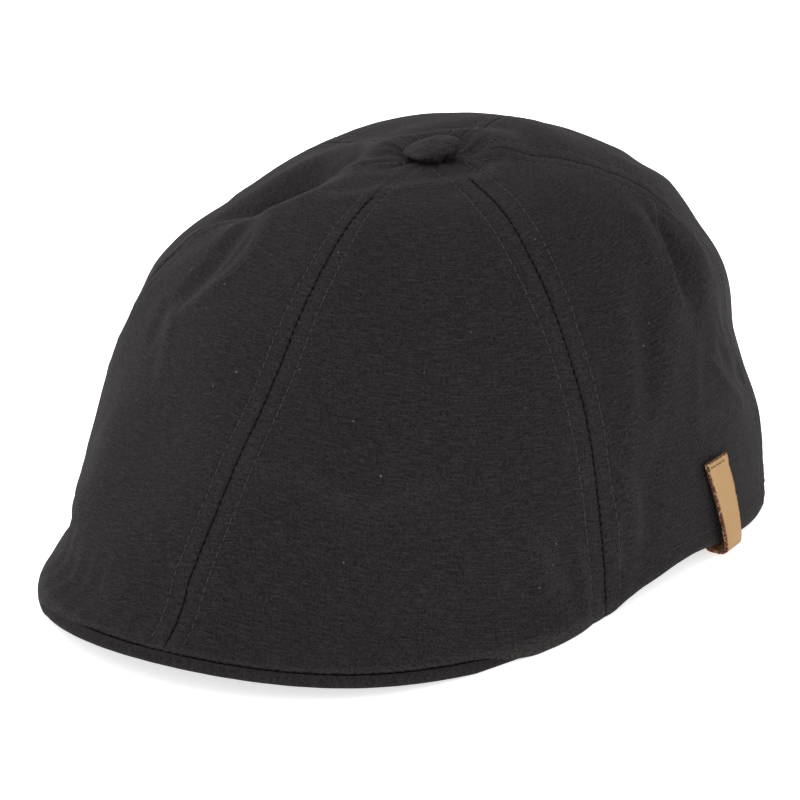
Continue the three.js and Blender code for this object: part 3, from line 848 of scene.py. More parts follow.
def panel_grid(first_turn):
    """Turns and levels of one panel's grid, from the ring under the button to the rim."""
    spans = [np.linspace(i, i + 1, count, endpoint=False) for i, count in enumerate(LEVEL_ROWS)]
    rows = np.concatenate([*spans, [RIM]])
    probe = np.linspace(0, 0.5, 200)
    probe_out = out_of(smooth_crown(first_turn + PANEL_SPAN / 2, probe))
    ring_level = np.interp(RING_RADIUS, probe_out, probe)
    rows = ring_level + (RIM - ring_level) * rows / RIM
    corners = first_turn + PANEL_SPAN * np.array([0, 0.5, 1]) + 0 * rows[:, None]
    edge = smooth_crown(corners, rows[:, None])
    width = np.linalg.norm(np.diff(edge, axis=1), axis=-1).sum(axis=1)
    turns = first_turn + PANEL_SPAN * panel_columns(width)
    levels = np.repeat(rows[:, None], turns.shape[1], axis=1)
    last = smooth_crown(turns[-1], RIM) - smooth_crown(turns[-1], RIM - 0.04)
    per_mm = 0.04 / np.linalg.norm(last, axis=1)
    pull = (rim_reach(turns[-1]) - wall_thickness(turns[-1], RIM) / 2) * per_mm
    levels = levels + pull * ease(rows, RIM_PULLED_FROM, RIM)[:, None]
    return turns, levels


print("a panel's grid has", " by ".join(str(count) for count in panel_grid(0.0)[0].shape), "points")

# %% Panel skin
ALLOWANCE_THICK = 0.7
ALLOWANCE_ENDS = (5.5, 6.5)
ALLOWANCE_STARTS = (8, 14)
EDGE_ANGLES = np.radians([30, 60, 90, 120, 150])
LOWEST = 0.05


def seam_distance(turns, out):
    """Distance from the nearest seam."""
    return out * np.radians(np.abs(turns - np.round(turns / PANEL_SPAN) * PANEL_SPAN))


def panel_skin(turns, levels, outer, normals):
    """Rows of the closed skin: the outer face, a rounded edge, then the inner face back again."""
    calm, _, _ = crown(turns, levels, fine=False)
    out = out_of(outer)
    beside_seam = 1 - ease(seam_distance(turns, out), *ALLOWANCE_ENDS)
    allowance = ALLOWANCE_THICK * beside_seam * ease(out, *ALLOWANCE_STARTS)
    inner = calm - normals * (wall_thickness(turns, levels) + allowance)[..., None]
    down = unit(outer[-1] - outer[-2])
    centre = (outer[-1] + inner[-1]) / 2
    half = (outer[-1] - inner[-1]) / 2
    size = np.linalg.norm(half, axis=1, keepdims=True)
    edge = [centre + half * math.cos(a) + down * size * math.sin(a) for a in EDGE_ANGLES]
    skin = np.concatenate([outer, np.array(edge), inner[::-1]])
    skin[..., 2] = np.maximum(skin[..., 2], LOWEST)
    return skin


def panel_faces(rows, columns, outer_rows):
    """The skin's quads, and the strips that close both seam edges and the ring at the top."""
    faces = grid_quads(rows, columns).tolist()
    index = np.arange(rows * columns).reshape(rows, columns)
    for column, order in ((0, 1), (columns - 1, -1)):
        line = index[:, column]
        for k in range(outer_rows - 1):
            faces.append([line[k], line[k + 1], line[rows - 2 - k], line[rows - 1 - k]][::order])
        faces.append(line[outer_rows - 1:rows - outer_rows + 1][::order])
    for k in range(columns - 1):
        faces.append([index[0, k + 1], index[0, k], index[-1, k], index[-1, k + 1]])
    return faces


print(f"the cloth is {CLOTH_THICK} mm thick and the hem {CLOTH_THICK + HEM_EXTRA:.1f} mm")

# %% Panel grain, and wear with a painted highlight on crests
GRAIN_APART = 200
CREST_FULL = 1.1
CREST_WEAR_AND_HIGHLIGHT = 0.35
RIM_WEAR = 0.45
RIM_WEAR_LEVELS = 0.12
SEAM_WEAR = 0.08
SEAM_WEAR_AWAY = 2.5
SEAM_WEAR_WIDTH = 1.5


def over_skin(outside, inside):
    """Values for the whole skin: those of the outer face go on round its edge."""
    return np.concatenate([outside, np.repeat(outside[-1:], len(EDGE_ANGLES), axis=0), inside[::-1]])


def panel_grain(first_turn, turns, outer):
    """How far each point of the skin lies across and down its panel."""
    down = run_lengths(outer)
    edge_down = down[-1:] + np.linspace(0.5, 1.5, len(EDGE_ANGLES))[:, None]
    inner_down = edge_down[-1:] + down[-1:] - down[::-1]
    down = np.concatenate([down, edge_down, inner_down])
    across = out_of(outer) * np.radians(turns - first_turn - PANEL_SPAN / 2)
    across = over_skin(across, across) + GRAIN_APART * first_turn
    return np.stack([across, down, 0 * down], axis=-1)


def panel_wear(turns, levels, outer, proud):
    """How rubbed the skin is along the rim and over the seam allowances, and how pale its crests are from
    wear and a painted highlight.
    """
    away = seam_distance(turns, out_of(outer))
    # crests that stand proud get the worn tint: partly wear, partly a painted highlight
    crests = np.clip(proud / CREST_FULL, 0, 1) * CREST_WEAR_AND_HIGHLIGHT
    rim = RIM_WEAR * ease(levels, RIM - RIM_WEAR_LEVELS, RIM)
    wear = np.clip(crests + rim + SEAM_WEAR * hump(away - SEAM_WEAR_AWAY, SEAM_WEAR_WIDTH), 0, 1)
    return over_skin(wear, 0 * wear)


print(f"wear: crests {CREST_WEAR_AND_HIGHLIGHT}, rim {RIM_WEAR}, seams {SEAM_WEAR}")

# %% Crown panels
PANELS = {
    "front_left": 0, "side_left": 60, "rear_left": 120,
    "rear_right": 180, "side_right": 240, "front_right": 300,
}
for panel_name, first_turn in PANELS.items():
    turns, levels = panel_grid(float(first_turn))
    outer, normals, proud = crown(turns, levels)
    skin = panel_skin(turns, levels, outer, normals)
    faces = panel_faces(*skin.shape[:2], len(outer))
    attributes = {
        "grain": panel_grain(first_turn, turns, outer),
        "wear": panel_wear(turns, levels, outer, proud),
    }
    piece = make_mesh(f"{panel_name}_cloth", skin, faces, crown_cloth, attributes)
    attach(piece, "root")
    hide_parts(f"{panel_name}_panel")
    print(f"{piece.name}: {len(piece.data.polygons)} faces")

# %% [markdown]
# ## The brim
# The brim is a stiff board covered in the same cloth. Seen from the front its edge is a
# narrow rolled band under a stitched ditch; underneath it is a smooth arched plate back to
# the head opening. It is lofted from slices, each worked out from the crown's own rim.

# %% Rolled edge of the brim
UP = np.array([0, 0, 1.0])
BRIM_ROLL = 1.75
ROLL_ANGLES = np.radians(np.linspace(-90, 168, 26))[:, None]
SEAM_GAP = 0.15
# how far the edge is set back under the cloth: at the lip, and where the cloth is drawn over it
BRIM_TUCK = 0.85
TUCK_LEFT = (44, 56)
COVERED_TUCK_LEFT = 3.5
COVERED_TUCK_RIGHT = 2.5
# the tips are drawn up behind the hem of the side panels
TIP_UP_TURNS = (60, 63)
TIP_LIFT = 0.5
TIP_RISE_TURNS = (62, 71)
TIP_RISE = 1.9


def outward(turns):
    """Level directions that point away from the button."""
    angle = np.radians(turns)
    return np.stack([np.sin(angle), -np.cos(angle), 0 * turns], axis=-1)


def rolled_edge(turns, rim, square):
    """Lowest height and points of the roll that lies against the rim from below."""
    along = unit(crown(turns + 0.5, RIM, fine=False)[0] - crown(turns - 0.5, RIM, fine=False)[0])
    down = unit(np.cross(square, along))
    down = down * -np.sign(down[:, 2:])
    covered_tuck = np.where(turns > 0, COVERED_TUCK_LEFT, COVERED_TUCK_RIGHT)
    tuck = BRIM_TUCK + (covered_tuck - BRIM_TUCK) * brim_covered(turns, TUCK_LEFT)
    touching = (rim[:, 2] + down[:, 2] * SEAM_GAP - square[:, 2] * tuck) / (1 - down[:, 2])
    roll = np.minimum(BRIM_ROLL, touching)
    at_tip = ease(np.abs(turns), *TIP_UP_TURNS)
    drop = (roll + SEAM_GAP) * (1 - at_tip) - TIP_LIFT * at_tip
    drop = drop - TIP_RISE * ease(np.abs(turns), *TIP_RISE_TURNS)
    centre = rim + down * drop[:, None] - square * tuck[:, None]
    side = unit(np.cross(along, UP))
    side = side * np.sign((side * outward(turns)).sum(axis=-1, keepdims=True))
    circle = side[:, None] * np.cos(ROLL_ANGLES) + UP * np.sin(ROLL_ANGLES)
    return centre[:, 2] - roll, centre[:, None] + circle * roll[:, None, None]


print(f"the rolled edge is up to {2 * BRIM_ROLL} mm thick")

# %% Brim slices
BRIM_END_TURN = 72.0
BRIM_COLUMNS = 260
BRIM_SLOPE = 0.15
BRIM_PLATE = 2.6
BRIM_TIP_PLATE = 1.6
BRIM_LEAST_WIDTH = 6.0
HEAD_HALF_WIDTH = 88.0
HEAD_FRONT = 104.0
# rounding of the plate's inner edge: below, above and inwards
HEEL_UP = 0.3
HEEL_DOWN = 0.4
HEEL_IN = 0.45
PLATE_STEPS = 26


def brim_slices(turns):
    """Closed slices of the brim: rolled edge, top, inner edge and underside."""
    rim, square, _ = crown(turns, RIM, fine=False)
    lowest, edge = rolled_edge(turns, rim, square)
    angle = np.radians(turns)
    head_out = 1 / np.hypot(np.sin(angle) / HEAD_HALF_WIDTH, np.cos(angle) / HEAD_FRONT)
    rim_out = out_of(rim)
    inner_out = np.minimum(head_out, rim_out - BRIM_LEAST_WIDTH)
    inner_up = lowest + BRIM_SLOPE * (rim_out - inner_out)
    inner = outward(turns) * inner_out[:, None] + [BUTTON_X, BUTTON_Y, 0] + inner_up[:, None] * UP
    plate = (BRIM_PLATE + (BRIM_TIP_PLATE - BRIM_PLATE) * np.abs(turns) / BRIM_END_TURN)[:, None]
    heel_top = (inner + UP * (plate - HEEL_DOWN))[:, None]
    heel = (inner + UP * plate / 2 - outward(turns) * HEEL_IN)[:, None]
    heel_low = (inner + UP * HEEL_UP)[:, None]
    share = np.linspace(0, 1, PLATE_STEPS)[:, None]
    top = edge[:, -1:] + (heel_top - edge[:, -1:]) * share[1:]
    bottom = heel_low + (edge[:, :1] - heel_low) * share[1:-1]
    return np.concatenate([edge, top, heel, heel_low, bottom], axis=1)


print(f"a slice of the brim has {brim_slices(np.array([0.0])).shape[1]} points")

# %% Brim piece
BRIM_GRAIN_APART = 900
BRIM_WEAR = 0.15
EDGE_MIDDLE = 8
WORN_EDGE = slice(4, 18)

slices = brim_slices(np.linspace(-BRIM_END_TURN, BRIM_END_TURN, BRIM_COLUMNS))
slices[..., 2] = np.maximum(slices[..., 2], LOWEST)
across = run_lengths(slices.swapaxes(0, 1)).T
along = run_lengths(slices[:, EDGE_MIDDLE])[:, None] + 0 * across
wear = np.zeros_like(across)
wear[:, WORN_EDGE] = BRIM_WEAR
attributes = {"grain": np.stack([across - BRIM_GRAIN_APART, along, 0 * across], axis=-1), "wear": wear}
# the brim's cover wears the cloth darkened as painted shade
piece = make_mesh("brim_cover", slices, loft_faces(*slices.shape[:2]), brim_cloth_painted_shade, attributes)
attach(piece, "root")
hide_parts("brim")
print(f"brim: {len(piece.data.polygons)} faces")

# %% [markdown]
# ## Topstitching
# Two rows run down every seam, one on each side, from under the button to the rim, and in the
# two seams that open widest near-black thread in the ditch paints the ditch's shade. The hem has
# one row a little above its edge, and the cloth is sewn to the brim along the ditch with the same
# near-black thread, whose black is partly its own colour and partly painted shade.

# %% Lines for the rows
STITCH_START_OUT = 9.5
DITCH_START_OUT = {0: 33.0, 60: 21.0}


def line_on_crown(turns, levels):
    """Points and outward directions of a line that lies on the sewn crown."""
    points, normals, _ = crown(turns, levels)
    return points, normals


def seam_row(seam_turn, side):
    """Line at the topstitching distance beside one seam, or in its ditch for side 0."""
    levels = np.linspace(0.12, RIM - 0.03, 260)
    out = out_of(smooth_crown(float(seam_turn), levels))
    keep = out > (STITCH_START_OUT if side else DITCH_START_OUT[seam_turn])
    away = np.interp(levels, ROW_LEVELS, ROW_AWAY[int(side_turn(seam_turn))])
    turns = seam_turn + side * np.degrees(away / out)
    return line_on_crown(turns[keep], levels[keep])


def rim_row(first_turn, last_turn, count, height):
    """Line that lies this many millimetres above the shown rim."""
    turns = np.linspace(first_turn, last_turn, count)
    step = smooth_crown(turns, RIM) - smooth_crown(turns, RIM - 0.1)
    levels = RIM - (height - rim_reach(turns)) * 0.1 / np.linalg.norm(step, axis=-1)
    return line_on_crown(turns, levels)


print(f"a row beside the front seam is {run_lengths(seam_row(0, 1)[0])[-1]:.0f} mm long")

# %% Rows beside and in the seams
SEAM_THREAD_UP = 0.3
SEAM_THREAD = {"length": 1.5, "radius": 0.15}

seam_rows = []
ditch_rows = []
for seam_number, seam_turn in enumerate(range(0, 360, 60)):
    for row_side in (-1, 1):
        row_seed = 10 + 2 * seam_number + row_side
        seam_rows.append(stitches_along(*seam_row(seam_turn, row_side), seed=row_seed))
    # the row in the ditch is near-black thread that paints the ditch's shade
    if seam_turn in DITCH_START_OUT:
        ditch_bottom, ditch_normals = seam_row(seam_turn, 0)
        thread_line = ditch_bottom + ditch_normals * SEAM_THREAD_UP
        ditch_rows.append(stitches_along(thread_line, ditch_normals, seed=30 + seam_number, **SEAM_THREAD))
topstitching = make_mesh("seam_topstitching", *join_rows(seam_rows), charcoal_thread)
seam_ditch_thread_painted_shade = make_mesh("seam_ditch_thread_painted_shade", *join_rows(ditch_rows), ditch_thread_painted_shade)
print(f"{len(seam_rows)} rows beside the seams and {len(ditch_rows)} in them")

# %% Rows along the rim
HEM_ROW_UP = 5.5
HEM_ROW_TURNS = (73, 287)
BRIM_ROW_UP = 0.05
BRIM_ROW_DEEP = 0.35
BRIM_ROW_TURNS = (-18, 40)
BRIM_THREAD = {"length": 1.55, "radius": 0.16}

hem_row = stitches_along(*rim_row(*HEM_ROW_TURNS, 900, HEM_ROW_UP), seed=40)
hem_stitching = make_mesh("hem_stitching", *hem_row, hem_thread)
brim_line, brim_normals = rim_row(*BRIM_ROW_TURNS, 500, BRIM_ROW_UP)
brim_line = brim_line - BRIM_ROW_DEEP * brim_normals
brim_row = stitches_along(brim_line, brim_normals, seed=41, **BRIM_THREAD)
# the brim row is near-black thread sunk in the ditch: partly its own colour, partly painted shade
brim_stitching = make_mesh("brim_edge_stitching", *brim_row, ditch_thread_painted_shade)
for rows_piece in (topstitching, seam_ditch_thread_painted_shade, hem_stitching, brim_stitching):
    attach(rows_piece, "root")
    print(f"{rows_piece.name}: {len(rows_piece.data.polygons)} faces")

# %% [markdown]
# ## The covered button
# A covered button is a metal dome with a round of cloth gathered under it. The gathers show
# as short wrinkles round its edge, and one deeper crease lies near the front. It is turned
# from a profile, with the wrinkles added as waves that fade towards the top.

# %% Button profile
BUTTON_RADIUS = 8.2
BUTTON_DOME = 4.5
BUTTON_SEAT = APEX_HEIGHT + 0.1
BUTTON_TILT = math.radians(16.0)
BUTTON_TILT_TURN = math.radians(30)
BUTTON_ROUND = 144
BUTTON_RINGS = 64
# out and up as shares of the radius and of the dome's height
BUTTON_PROFILE = np.array([
    [0.36, -0.05], [0.72, 0.0], [0.84, 0.12], [0.94, 0.32], [1.00, 0.52], [0.98, 0.66],
    [0.88, 0.79], [0.68, 0.90], [0.38, 0.98], [0.16, 1.0], [0.05, 1.0],
])

last_knot = len(BUTTON_PROFILE) - 1
ring_place = np.linspace(0, last_knot, BUTTON_RINGS)
knot_index = np.clip(ring_place.astype(int), 0, last_knot - 1)
padded = np.concatenate([BUTTON_PROFILE[:1], BUTTON_PROFILE, BUTTON_PROFILE[-1:]])
button_knots = (padded[knot_index + k] for k in range(4))
out_share, up_share = smooth_between(*button_knots, (ring_place - knot_index)[:, None]).T[..., None]
print(f"the button is {2 * BUTTON_RADIUS:.1f} mm across and {BUTTON_DOME} mm high")

# %% Gathers and button
# count round the button, height, shift
BUTTON_WAVES = ((9, 0.08, 0.4), (14, 0.07, 2.2), (21, 0.04, 5.1))
WAVES_UP, WAVES_WIDTH = 0.25, 0.28
# turn, half width in degrees, depth
BUTTON_CREASES = ((62, 7, 1.1), (14, 4, 0.25), (-24, 6, 0.2), (112, 10, 0.9), (-140, 8, 0.35))
CREASES_UP, CREASES_WIDTH = 0.15, 0.34
DOME_UNEVEN = 0.10
BUTTON_GRAIN = (700, 0, 0)
BUTTON_WEAR = 0.35

degrees = np.linspace(-180, 180, BUTTON_ROUND, endpoint=False)
angle = np.radians(degrees)
waves = sum(height * np.cos(count * angle + shift) for count, height, shift in BUTTON_WAVES)
gathered = hump(up_share - WAVES_UP, WAVES_WIDTH)
pinch = gathered * waves
for crease_turn, width, depth in BUTTON_CREASES:
    gap = (degrees - crease_turn + 180) % 360 - 180
    pinch = pinch - depth * hump(up_share - CREASES_UP, CREASES_WIDTH) * hump(gap, width)
out = out_share * BUTTON_RADIUS + pinch
up = up_share * BUTTON_DOME + DOME_UNEVEN * np.cos(3 * angle + 1) * up_share
rise = np.tan(BUTTON_TILT) * out * np.sin(angle - BUTTON_TILT_TURN)
height = BUTTON_SEAT + up + rise * up_share
dome = np.stack([BUTTON_X + out * np.sin(angle), BUTTON_Y - out * np.cos(angle), height], axis=-1)
attributes = {"grain": dome + BUTTON_GRAIN, "wear": BUTTON_WEAR * np.clip(gathered * 0.6 + pinch, 0, 1)}
# the button wears the cloth lightened as painted light
piece = make_mesh("covered_button", dome, loft_faces(*dome.shape[:2]), button_cloth_painted_light, attributes)
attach(piece, "root")
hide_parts("top_button")
print(f"button: {len(piece.data.polygons)} faces")

# %% [markdown]
# ## Leather
# Vegetable-tanned leather has a smooth tan face with fine pores and a rough, darker cut edge
# where the fibres show. One material holds both: an attribute called cut says how much of
# the edge shows at a point, and the tree mixes colour, bump and roughness by it.

# %% Leather finish
LEATHER_TAN = (0.285, 0.155, 0.048, 1)
LEATHER_PALE = (0.35, 0.200, 0.068, 1)
LEATHER_BEND = (0.235, 0.122, 0.045, 1)
LEATHER_CUT = (0.075, 0.022, 0.010, 1)
LEATHER_CUT_LIGHT = (0.42, 0.26, 0.16, 1)
LEATHER_CLOUD_SCALE = (0.16, 0.10, 0.16)
FIBRE_SCALE = (1.3, 1.1, 2.2)
FIBRE_SHOWS = (0.5, 0.64)
PORES_PER_MM = 3.2
SCUFF_SCALE = (0.5, 6.0, 1.0)
LEATHER_RELIEF = 0.00014


def leather_material():
    """Tan leather with pores, a few scuffs and a fibrous cut edge."""
    material, tree = new_material("tan_leather")
    grain = stored(tree, "grain", "Vector")
    cut = stored(tree, "cut")
    cloud = stretched_noise(tree, grain, LEATHER_CLOUD_SCALE, 4.0)
    face = blend_colours(tree, cloud, LEATHER_TAN, LEATHER_PALE)
    face = blend_colours(tree, stored(tree, "bent"), face, LEATHER_BEND)
    fibres = remap(tree, stretched_noise(tree, grain, FIBRE_SCALE, 3.0), *FIBRE_SHOWS)
    edge = blend_colours(tree, fibres, LEATHER_CUT, LEATHER_CUT_LIGHT)
    pores = add_node(
        tree, "ShaderNodeTexVoronoi", {"Vector": grain, "Scale": PORES_PER_MM}, feature="SMOOTH_F1"
    ).outputs["Distance"]
    scuffs = stretched_noise(tree, grain, SCUFF_SCALE, 4.0)
    face_height = weighted_sum(tree, (pores, 0.5), (scuffs, 0.35))
    edge_height = math_node(tree, "MULTIPLY", fibres, 3.0)
    height = add_node(tree, "ShaderNodeMix", {0: cut, 2: face_height, 3: edge_height}).outputs[0]
    bump = add_node(tree, "ShaderNodeBump", {"Height": height, "Distance": LEATHER_RELIEF, "Strength": 0.6})
    close_tree(tree, {
        "Base Color": blend_colours(tree, cut, face, edge),
        "Roughness": remap(tree, cut, 0.0, 1.0, 0.47, 0.9),
        "Normal": bump.outputs[0],
        "Specular IOR Level": 0.25,
    })
    return material


tan_leather = leather_material()
print("leather finish,", len(tan_leather.node_tree.nodes), "nodes")

# %% [markdown]
# ## The leather tab
# The tab is one strap. It is sewn flat to the cloth at its top, hangs a little clear of it
# lower down, folds under the hem and goes up again inside. Its middle line is drawn in an
# upright plane square to the cloth, and a rounded section is swept along that line.

# %% Tab line
TAB_TURN = 94.5
TAB_LEVEL = 4.5
TAB_TOP_WIDTH = 12.4
TAB_LOW_WIDTH = 8.4
TAB_THICK = 1.15
TAB_GAP = 0.35
TAB_INSIDE_GAP = 0.9
TAB_UNDER_GAP = 2.9
TAB_INSIDE_TOP = 15.0
TAB_BEND_DEPTH = 3.2
TAB_BEND_SQUARE = 0.65
TAB_LEAN = 0.2
TAB_UPRIGHT = 17.0
TAB_SLANT = 0.05
TAB_SLANT_FROM = 18.0
# height over the table, and clearance between strap and cloth
TAB_FRONT = np.array([[31, 0.1], [27, 0.1], [22, 0.5], [17, 1.2], [12, 1.9], [7, 2.1]])
TAB_ROWS = 220
BLUR = np.array([1, 4, 6, 4, 1]) / 16
BLUR_ROUNDS = 6

tab_turn = np.array([TAB_TURN])
tab_foot = crown(tab_turn, RIM, fine=False)[0][0]
tab_face = smooth_normal(tab_turn, np.array([TAB_LEVEL]))[0] * [1, 1, 0]
tab_face = tab_face / np.linalg.norm(tab_face)
tab_across = np.cross(UP, tab_face)


def cloth_reach(heights):
    """How far the cloth's face stands out from the rim at heights over the table."""
    levels = np.linspace(3, RIM, 300)
    points = crown(TAB_TURN + 0 * levels, levels, fine=False)[0]
    reach = (points - tab_foot) @ tab_face
    return np.interp(-np.asarray(heights), -points[:, 2], reach)


def tab_line():
    """The strap's middle line as reach and height, evenly spaced."""
    half = TAB_THICK / 2
    heights, clearance = TAB_FRONT.T
    front = np.stack([cloth_reach(heights) + TAB_GAP + clearance + half, heights], axis=1)
    inside = -(CLOTH_THICK + HEM_EXTRA + TAB_INSIDE_GAP + half)
    lowest = tab_foot[2] - TAB_UNDER_GAP - half
    angle = np.linspace(0, np.pi, 25)
    sideways = np.sign(np.cos(angle)) * np.abs(np.cos(angle)) ** TAB_BEND_SQUARE
    bend_reach = inside + (front[-1, 0] - inside) * (1 + sideways) / 2
    bend_height = lowest + TAB_BEND_DEPTH * (1 - np.sin(angle) ** TAB_BEND_SQUARE)
    bend = np.stack([bend_reach, bend_height], axis=1)
    rough = np.concatenate([front, bend, [[inside, TAB_INSIDE_TOP]]])
    place = run_lengths(rough)
    fine = np.linspace(0, place[-1], TAB_ROWS)
    line = np.stack([np.interp(fine, place, rough[:, k]) for k in range(2)], axis=1)
    for _ in range(BLUR_ROUNDS):
        ends = line[[0, -1]].copy()
        wide = np.concatenate([line[:1], line[:1], line, line[-1:], line[-1:]])
        line = sum(weight * wide[k:k + len(line)] for k, weight in enumerate(BLUR))
        line[[0, -1]] = ends
    return line


def on_tab(reach, height, sideways):
    """Point of the leaning strap at a reach, a height and a distance sideways."""
    middle = tab_foot * [1, 1, 0] + tab_face * reach + UP * height
    return middle + tab_across * (sideways + TAB_LEAN * (TAB_UPRIGHT - height))


tab_points = tab_line()
tab_length = run_lengths(tab_points)[-1]
print(f"the strap is {tab_length:.0f} mm long and {TAB_TOP_WIDTH} mm wide at its top")

# %% Strap section
TAB_ROUND = 0.32
TAB_SIDE_POINTS = 10
TAB_FACE_POINTS = 22
# how much cut edge shows on the face's border, the outer corners, the sides, inner corners and back
CUT_BORDER, CUT_OUTER, CUT_SIDE, CUT_INNER, CUT_BACK = 0.5, 0.95, 1.0, 0.8, 0.55


def strap_section():
    """Rounded section of the strap, and how much cut edge shows at each of its points."""
    half, thick = TAB_TOP_WIDTH / 2, TAB_THICK / 2
    face = np.linspace(half - TAB_ROUND, TAB_ROUND - half, TAB_FACE_POINTS)
    side = np.linspace(thick - TAB_ROUND, TAB_ROUND - thick, TAB_SIDE_POINTS)
    corner = np.radians(np.linspace(0, 90, 6)[1:-1])
    bow, rise = half - TAB_ROUND + TAB_ROUND * np.sin(corner), thick - TAB_ROUND + TAB_ROUND * np.cos(corner)
    far, low = half - TAB_ROUND + TAB_ROUND * np.cos(corner), thick - TAB_ROUND + TAB_ROUND * np.sin(corner)
    runs = (
        (face, thick + 0 * face, 0.0), (-bow, rise, CUT_OUTER), (-half + 0 * side, side, CUT_SIDE),
        (-far, -low, CUT_INNER), (-face, -thick + 0 * face, CUT_BACK), (bow, -rise, CUT_INNER),
        (half + 0 * side, -side, CUT_SIDE), (far, low, CUT_OUTER),
    )
    cut = np.concatenate([amount + 0 * wide for wide, _, amount in runs])
    cut[[0, TAB_FACE_POINTS - 1]] = CUT_BORDER
    return np.concatenate([wide for wide, _, _ in runs]), np.concatenate([deep for _, deep, _ in runs]), cut


print("the section has", len(strap_section()[0]), "points")

# %% Tab piece
TAB_CURL = 0.25
TAB_CURL_WAVE = 6.0
TAB_CURL_STARTS = (3, 10)
TAB_CURL_ENDS = (26, 30)
EDGE_ROUGHNESS = 0.45
EDGE_ROUGH_SIZE = 1.4
EDGE_ROUGH_WIDTH = 0.6
BEND_SHOWS = 1.6
BEND_MOST = 0.75
TAB_LOWEST = 0.15
TAB_END_CUT = 0.9

wide, deep, cut = strap_section()
reach, height = tab_points[:, :1], tab_points[:, 1:]
run = unit(np.gradient(tab_points, axis=0))
place = np.linspace(0, tab_length, TAB_ROWS)[:, None]
narrow = (TAB_LOW_WIDTH + (TAB_TOP_WIDTH - TAB_LOW_WIDTH) * height / TAB_FRONT[0, 0]) / TAB_TOP_WIDTH
wide = wide * narrow
curl = TAB_CURL * np.sin(place / TAB_CURL_WAVE + 0.6) * (wide / TAB_TOP_WIDTH) ** 2 * 4
curl = curl * ease(place, *TAB_CURL_STARTS) * (1 - ease(place, *TAB_CURL_ENDS))
thick_way = tab_face * -run[:, 1:] + UP * run[:, :1]
strap = on_tab(reach, height, 0)[:, None] + tab_across * wide[..., None]
strap = strap + thick_way[:, None] * (deep + curl)[..., None]
slant = TAB_SLANT * ease(height, TAB_SLANT_FROM, TAB_FRONT[0, 0]) * (place < tab_length / 2)
strap[..., 2] -= slant * wide
bumps = np.array([noise.noise(Vector(p * EDGE_ROUGH_SIZE)) for p in strap.reshape(-1, 3)])
at_edge = np.abs(wide) > narrow * TAB_TOP_WIDTH / 2 - EDGE_ROUGH_WIDTH
ragged = np.sign(wide) * cut * EDGE_ROUGHNESS * at_edge * bumps.reshape(wide.shape)
strap = strap + tab_across * ragged[..., None]
strap[..., 2] = np.maximum(strap[..., 2], TAB_LOWEST)
bending = np.abs(np.gradient(np.unwrap(np.arctan2(run[:, 1], run[:, 0])), place[:, 0]))
bent = np.clip(bending * BEND_SHOWS, 0, BEND_MOST)[:, None] + 0 * wide
cut = cut + 0 * wide
cut[:2] = np.maximum(cut[:2], TAB_END_CUT)
attributes = {"grain": np.stack([wide, place + 0 * wide, deep + 0 * wide], axis=-1), "cut": cut, "bent": bent}
piece = make_mesh("folded_tab", strap, loft_faces(*strap.shape[:2]), tan_leather, attributes)
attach(piece, "root")
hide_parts("leather_tab")
print(f"tab: {len(piece.data.polygons)} faces")

# %% Tab stitches
TAB_ROW_DOWN = 1.6
TAB_ROW_IN = 0.9
TAB_THREAD = {"length": 1.35, "pitch": 1.75, "radius": 0.24}

row_at = TAB_ROW_DOWN / tab_length * (TAB_ROWS - 1)
row_reach, row_height = (np.interp(row_at, np.arange(TAB_ROWS), tab_points[:, k]) for k in range(2))
row_half = TAB_TOP_WIDTH / 2 - TAB_ROW_IN
row_sideways = np.linspace(-row_half, row_half, 60)[:, None]
row_line = on_tab(row_reach + TAB_THICK / 2, row_height, row_sideways) - UP * TAB_SLANT * row_sideways
row_up = np.repeat(tab_face[None], len(row_line), axis=0)
tab_row = stitches_along(row_line, row_up, seed=50, **TAB_THREAD)
tab_stitching = make_mesh("tab_stitching", *tab_row, tan_thread)
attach(tab_stitching, "root")
print(f"tab stitching: {len(tab_stitching.data.polygons)} faces")

# %% [markdown]
# ## Floor, light and camera
# The cap lies on a plain pale floor in soft studio light. A broad softbox hangs over it, a
# second one stands behind on the left and brightens the left outline, and the pale surround
# fills the rest. The camera stands where the photograph was taken from.

# %% Floor
FLOOR_RADIUS = 14.0
FLOOR_GREY = (0.90, 0.90, 0.90, 1)
FLOOR_PALE = (0.93, 0.93, 0.93, 1)
FLOOR_GLOW = 0.65

bpy.ops.mesh.primitive_circle_add(vertices=96, radius=FLOOR_RADIUS, fill_type="NGON")
floor = bpy.context.object
floor.name = "floor"
floor_material, floor_tree = new_material("pale_floor")
floor_tone = add_node(floor_tree, "ShaderNodeTexNoise", {"Scale": 3.0, "Detail": 2.0}).outputs["Fac"]
close_tree(floor_tree, {
    "Base Color": blend_colours(floor_tree, floor_tone, FLOOR_GREY, FLOOR_PALE),
    "Roughness": 0.8,
    "Emission Color": (1, 1, 1, 1),
    "Emission Strength": FLOOR_GLOW,
})
floor.data.materials.append(floor_material)
print(f"floor: {2 * FLOOR_RADIUS:.0f} m across")

# %% Light
SURROUND_STRENGTH = 1.3
CAP_MIDDLE = Vector((0, 0, 0.06))
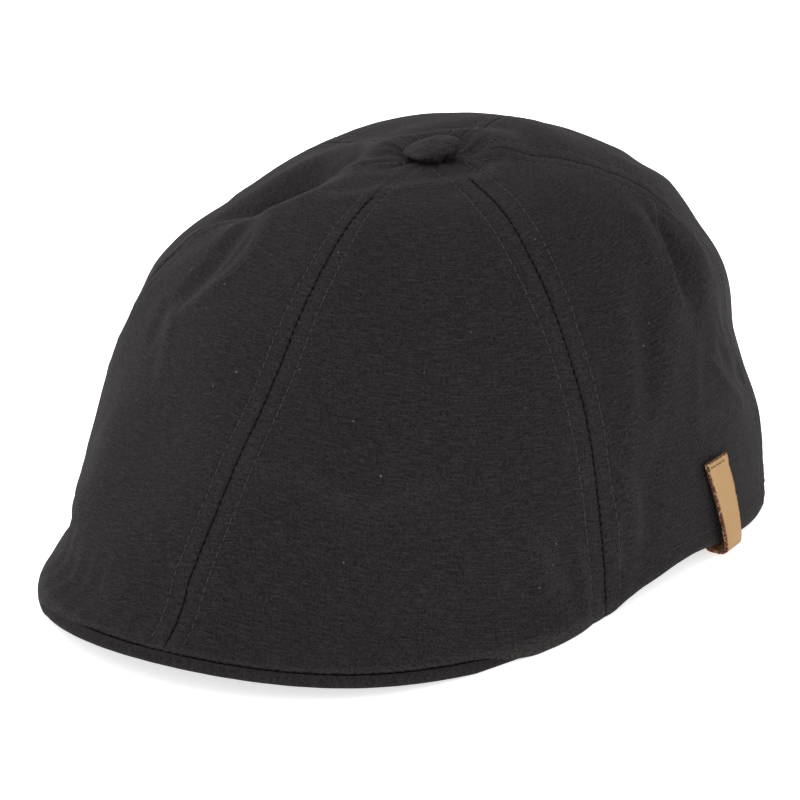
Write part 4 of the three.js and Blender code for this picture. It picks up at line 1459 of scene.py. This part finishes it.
# place in metres, size in metres, power in watts
SOFTBOXES = {
    "top_softbox": ((-0.25, 0.1, 1.5), 1.1, 2.5),
    "left_softbox": ((-1.3, 0.35, 0.75), 0.8, 4),
}

world = bpy.data.worlds.new("pale_surround")
world.use_nodes = True
surround = world.node_tree.nodes["Background"].inputs
surround["Color"].default_value = (1, 1, 1, 1)
surround["Strength"].default_value = SURROUND_STRENGTH
bpy.context.scene.world = world
bpy.context.scene.view_settings.view_transform = "Standard"
for light_name, (light_place, light_size, light_power) in SOFTBOXES.items():
    light = bpy.data.lights.new(light_name, "AREA")
    light.shape = "SQUARE"
    light.size = light_size
    light.energy = light_power
    lamp = bpy.data.objects.new(light_name, light)
    lamp.location = light_place
    lamp.rotation_mode = "QUATERNION"
    lamp.rotation_quaternion = (CAP_MIDDLE - Vector(light_place)).to_track_quat("-Z", "Y")
    bpy.context.scene.collection.objects.link(lamp)
print(f"{len(SOFTBOXES)} softboxes in a surround of strength {SURROUND_STRENGTH}")

# %% Camera
CAMERA_TURN = math.radians(30)
CAMERA_RISE = math.radians(22)
CAMERA_AWAY = 1.65
CAMERA_AIM = Vector((0.00284, -0.00232, 0.04245))
PIXELS_PER_RADIAN = 5775.0
PICTURE_PIXELS = 800.0

camera_data = bpy.data.cameras.new("camera")
camera = bpy.data.objects.new("camera", camera_data)
bpy.context.scene.collection.objects.link(camera)
camera_data.sensor_width = 36
camera_data.lens = camera_data.sensor_width * PIXELS_PER_RADIAN / PICTURE_PIXELS
camera_back = Vector((
    math.sin(CAMERA_TURN) * math.cos(CAMERA_RISE),
    -math.cos(CAMERA_TURN) * math.cos(CAMERA_RISE),
    math.sin(CAMERA_RISE),
))
camera.location = CAMERA_AIM + camera_back * CAMERA_AWAY
camera.rotation_mode = "QUATERNION"
camera.rotation_quaternion = (-camera_back).to_track_quat("-Z", "Y")
bpy.context.scene.camera = camera
print(f"camera: {math.degrees(CAMERA_TURN):.0f} degrees round and {math.degrees(CAMERA_RISE):.0f} up")
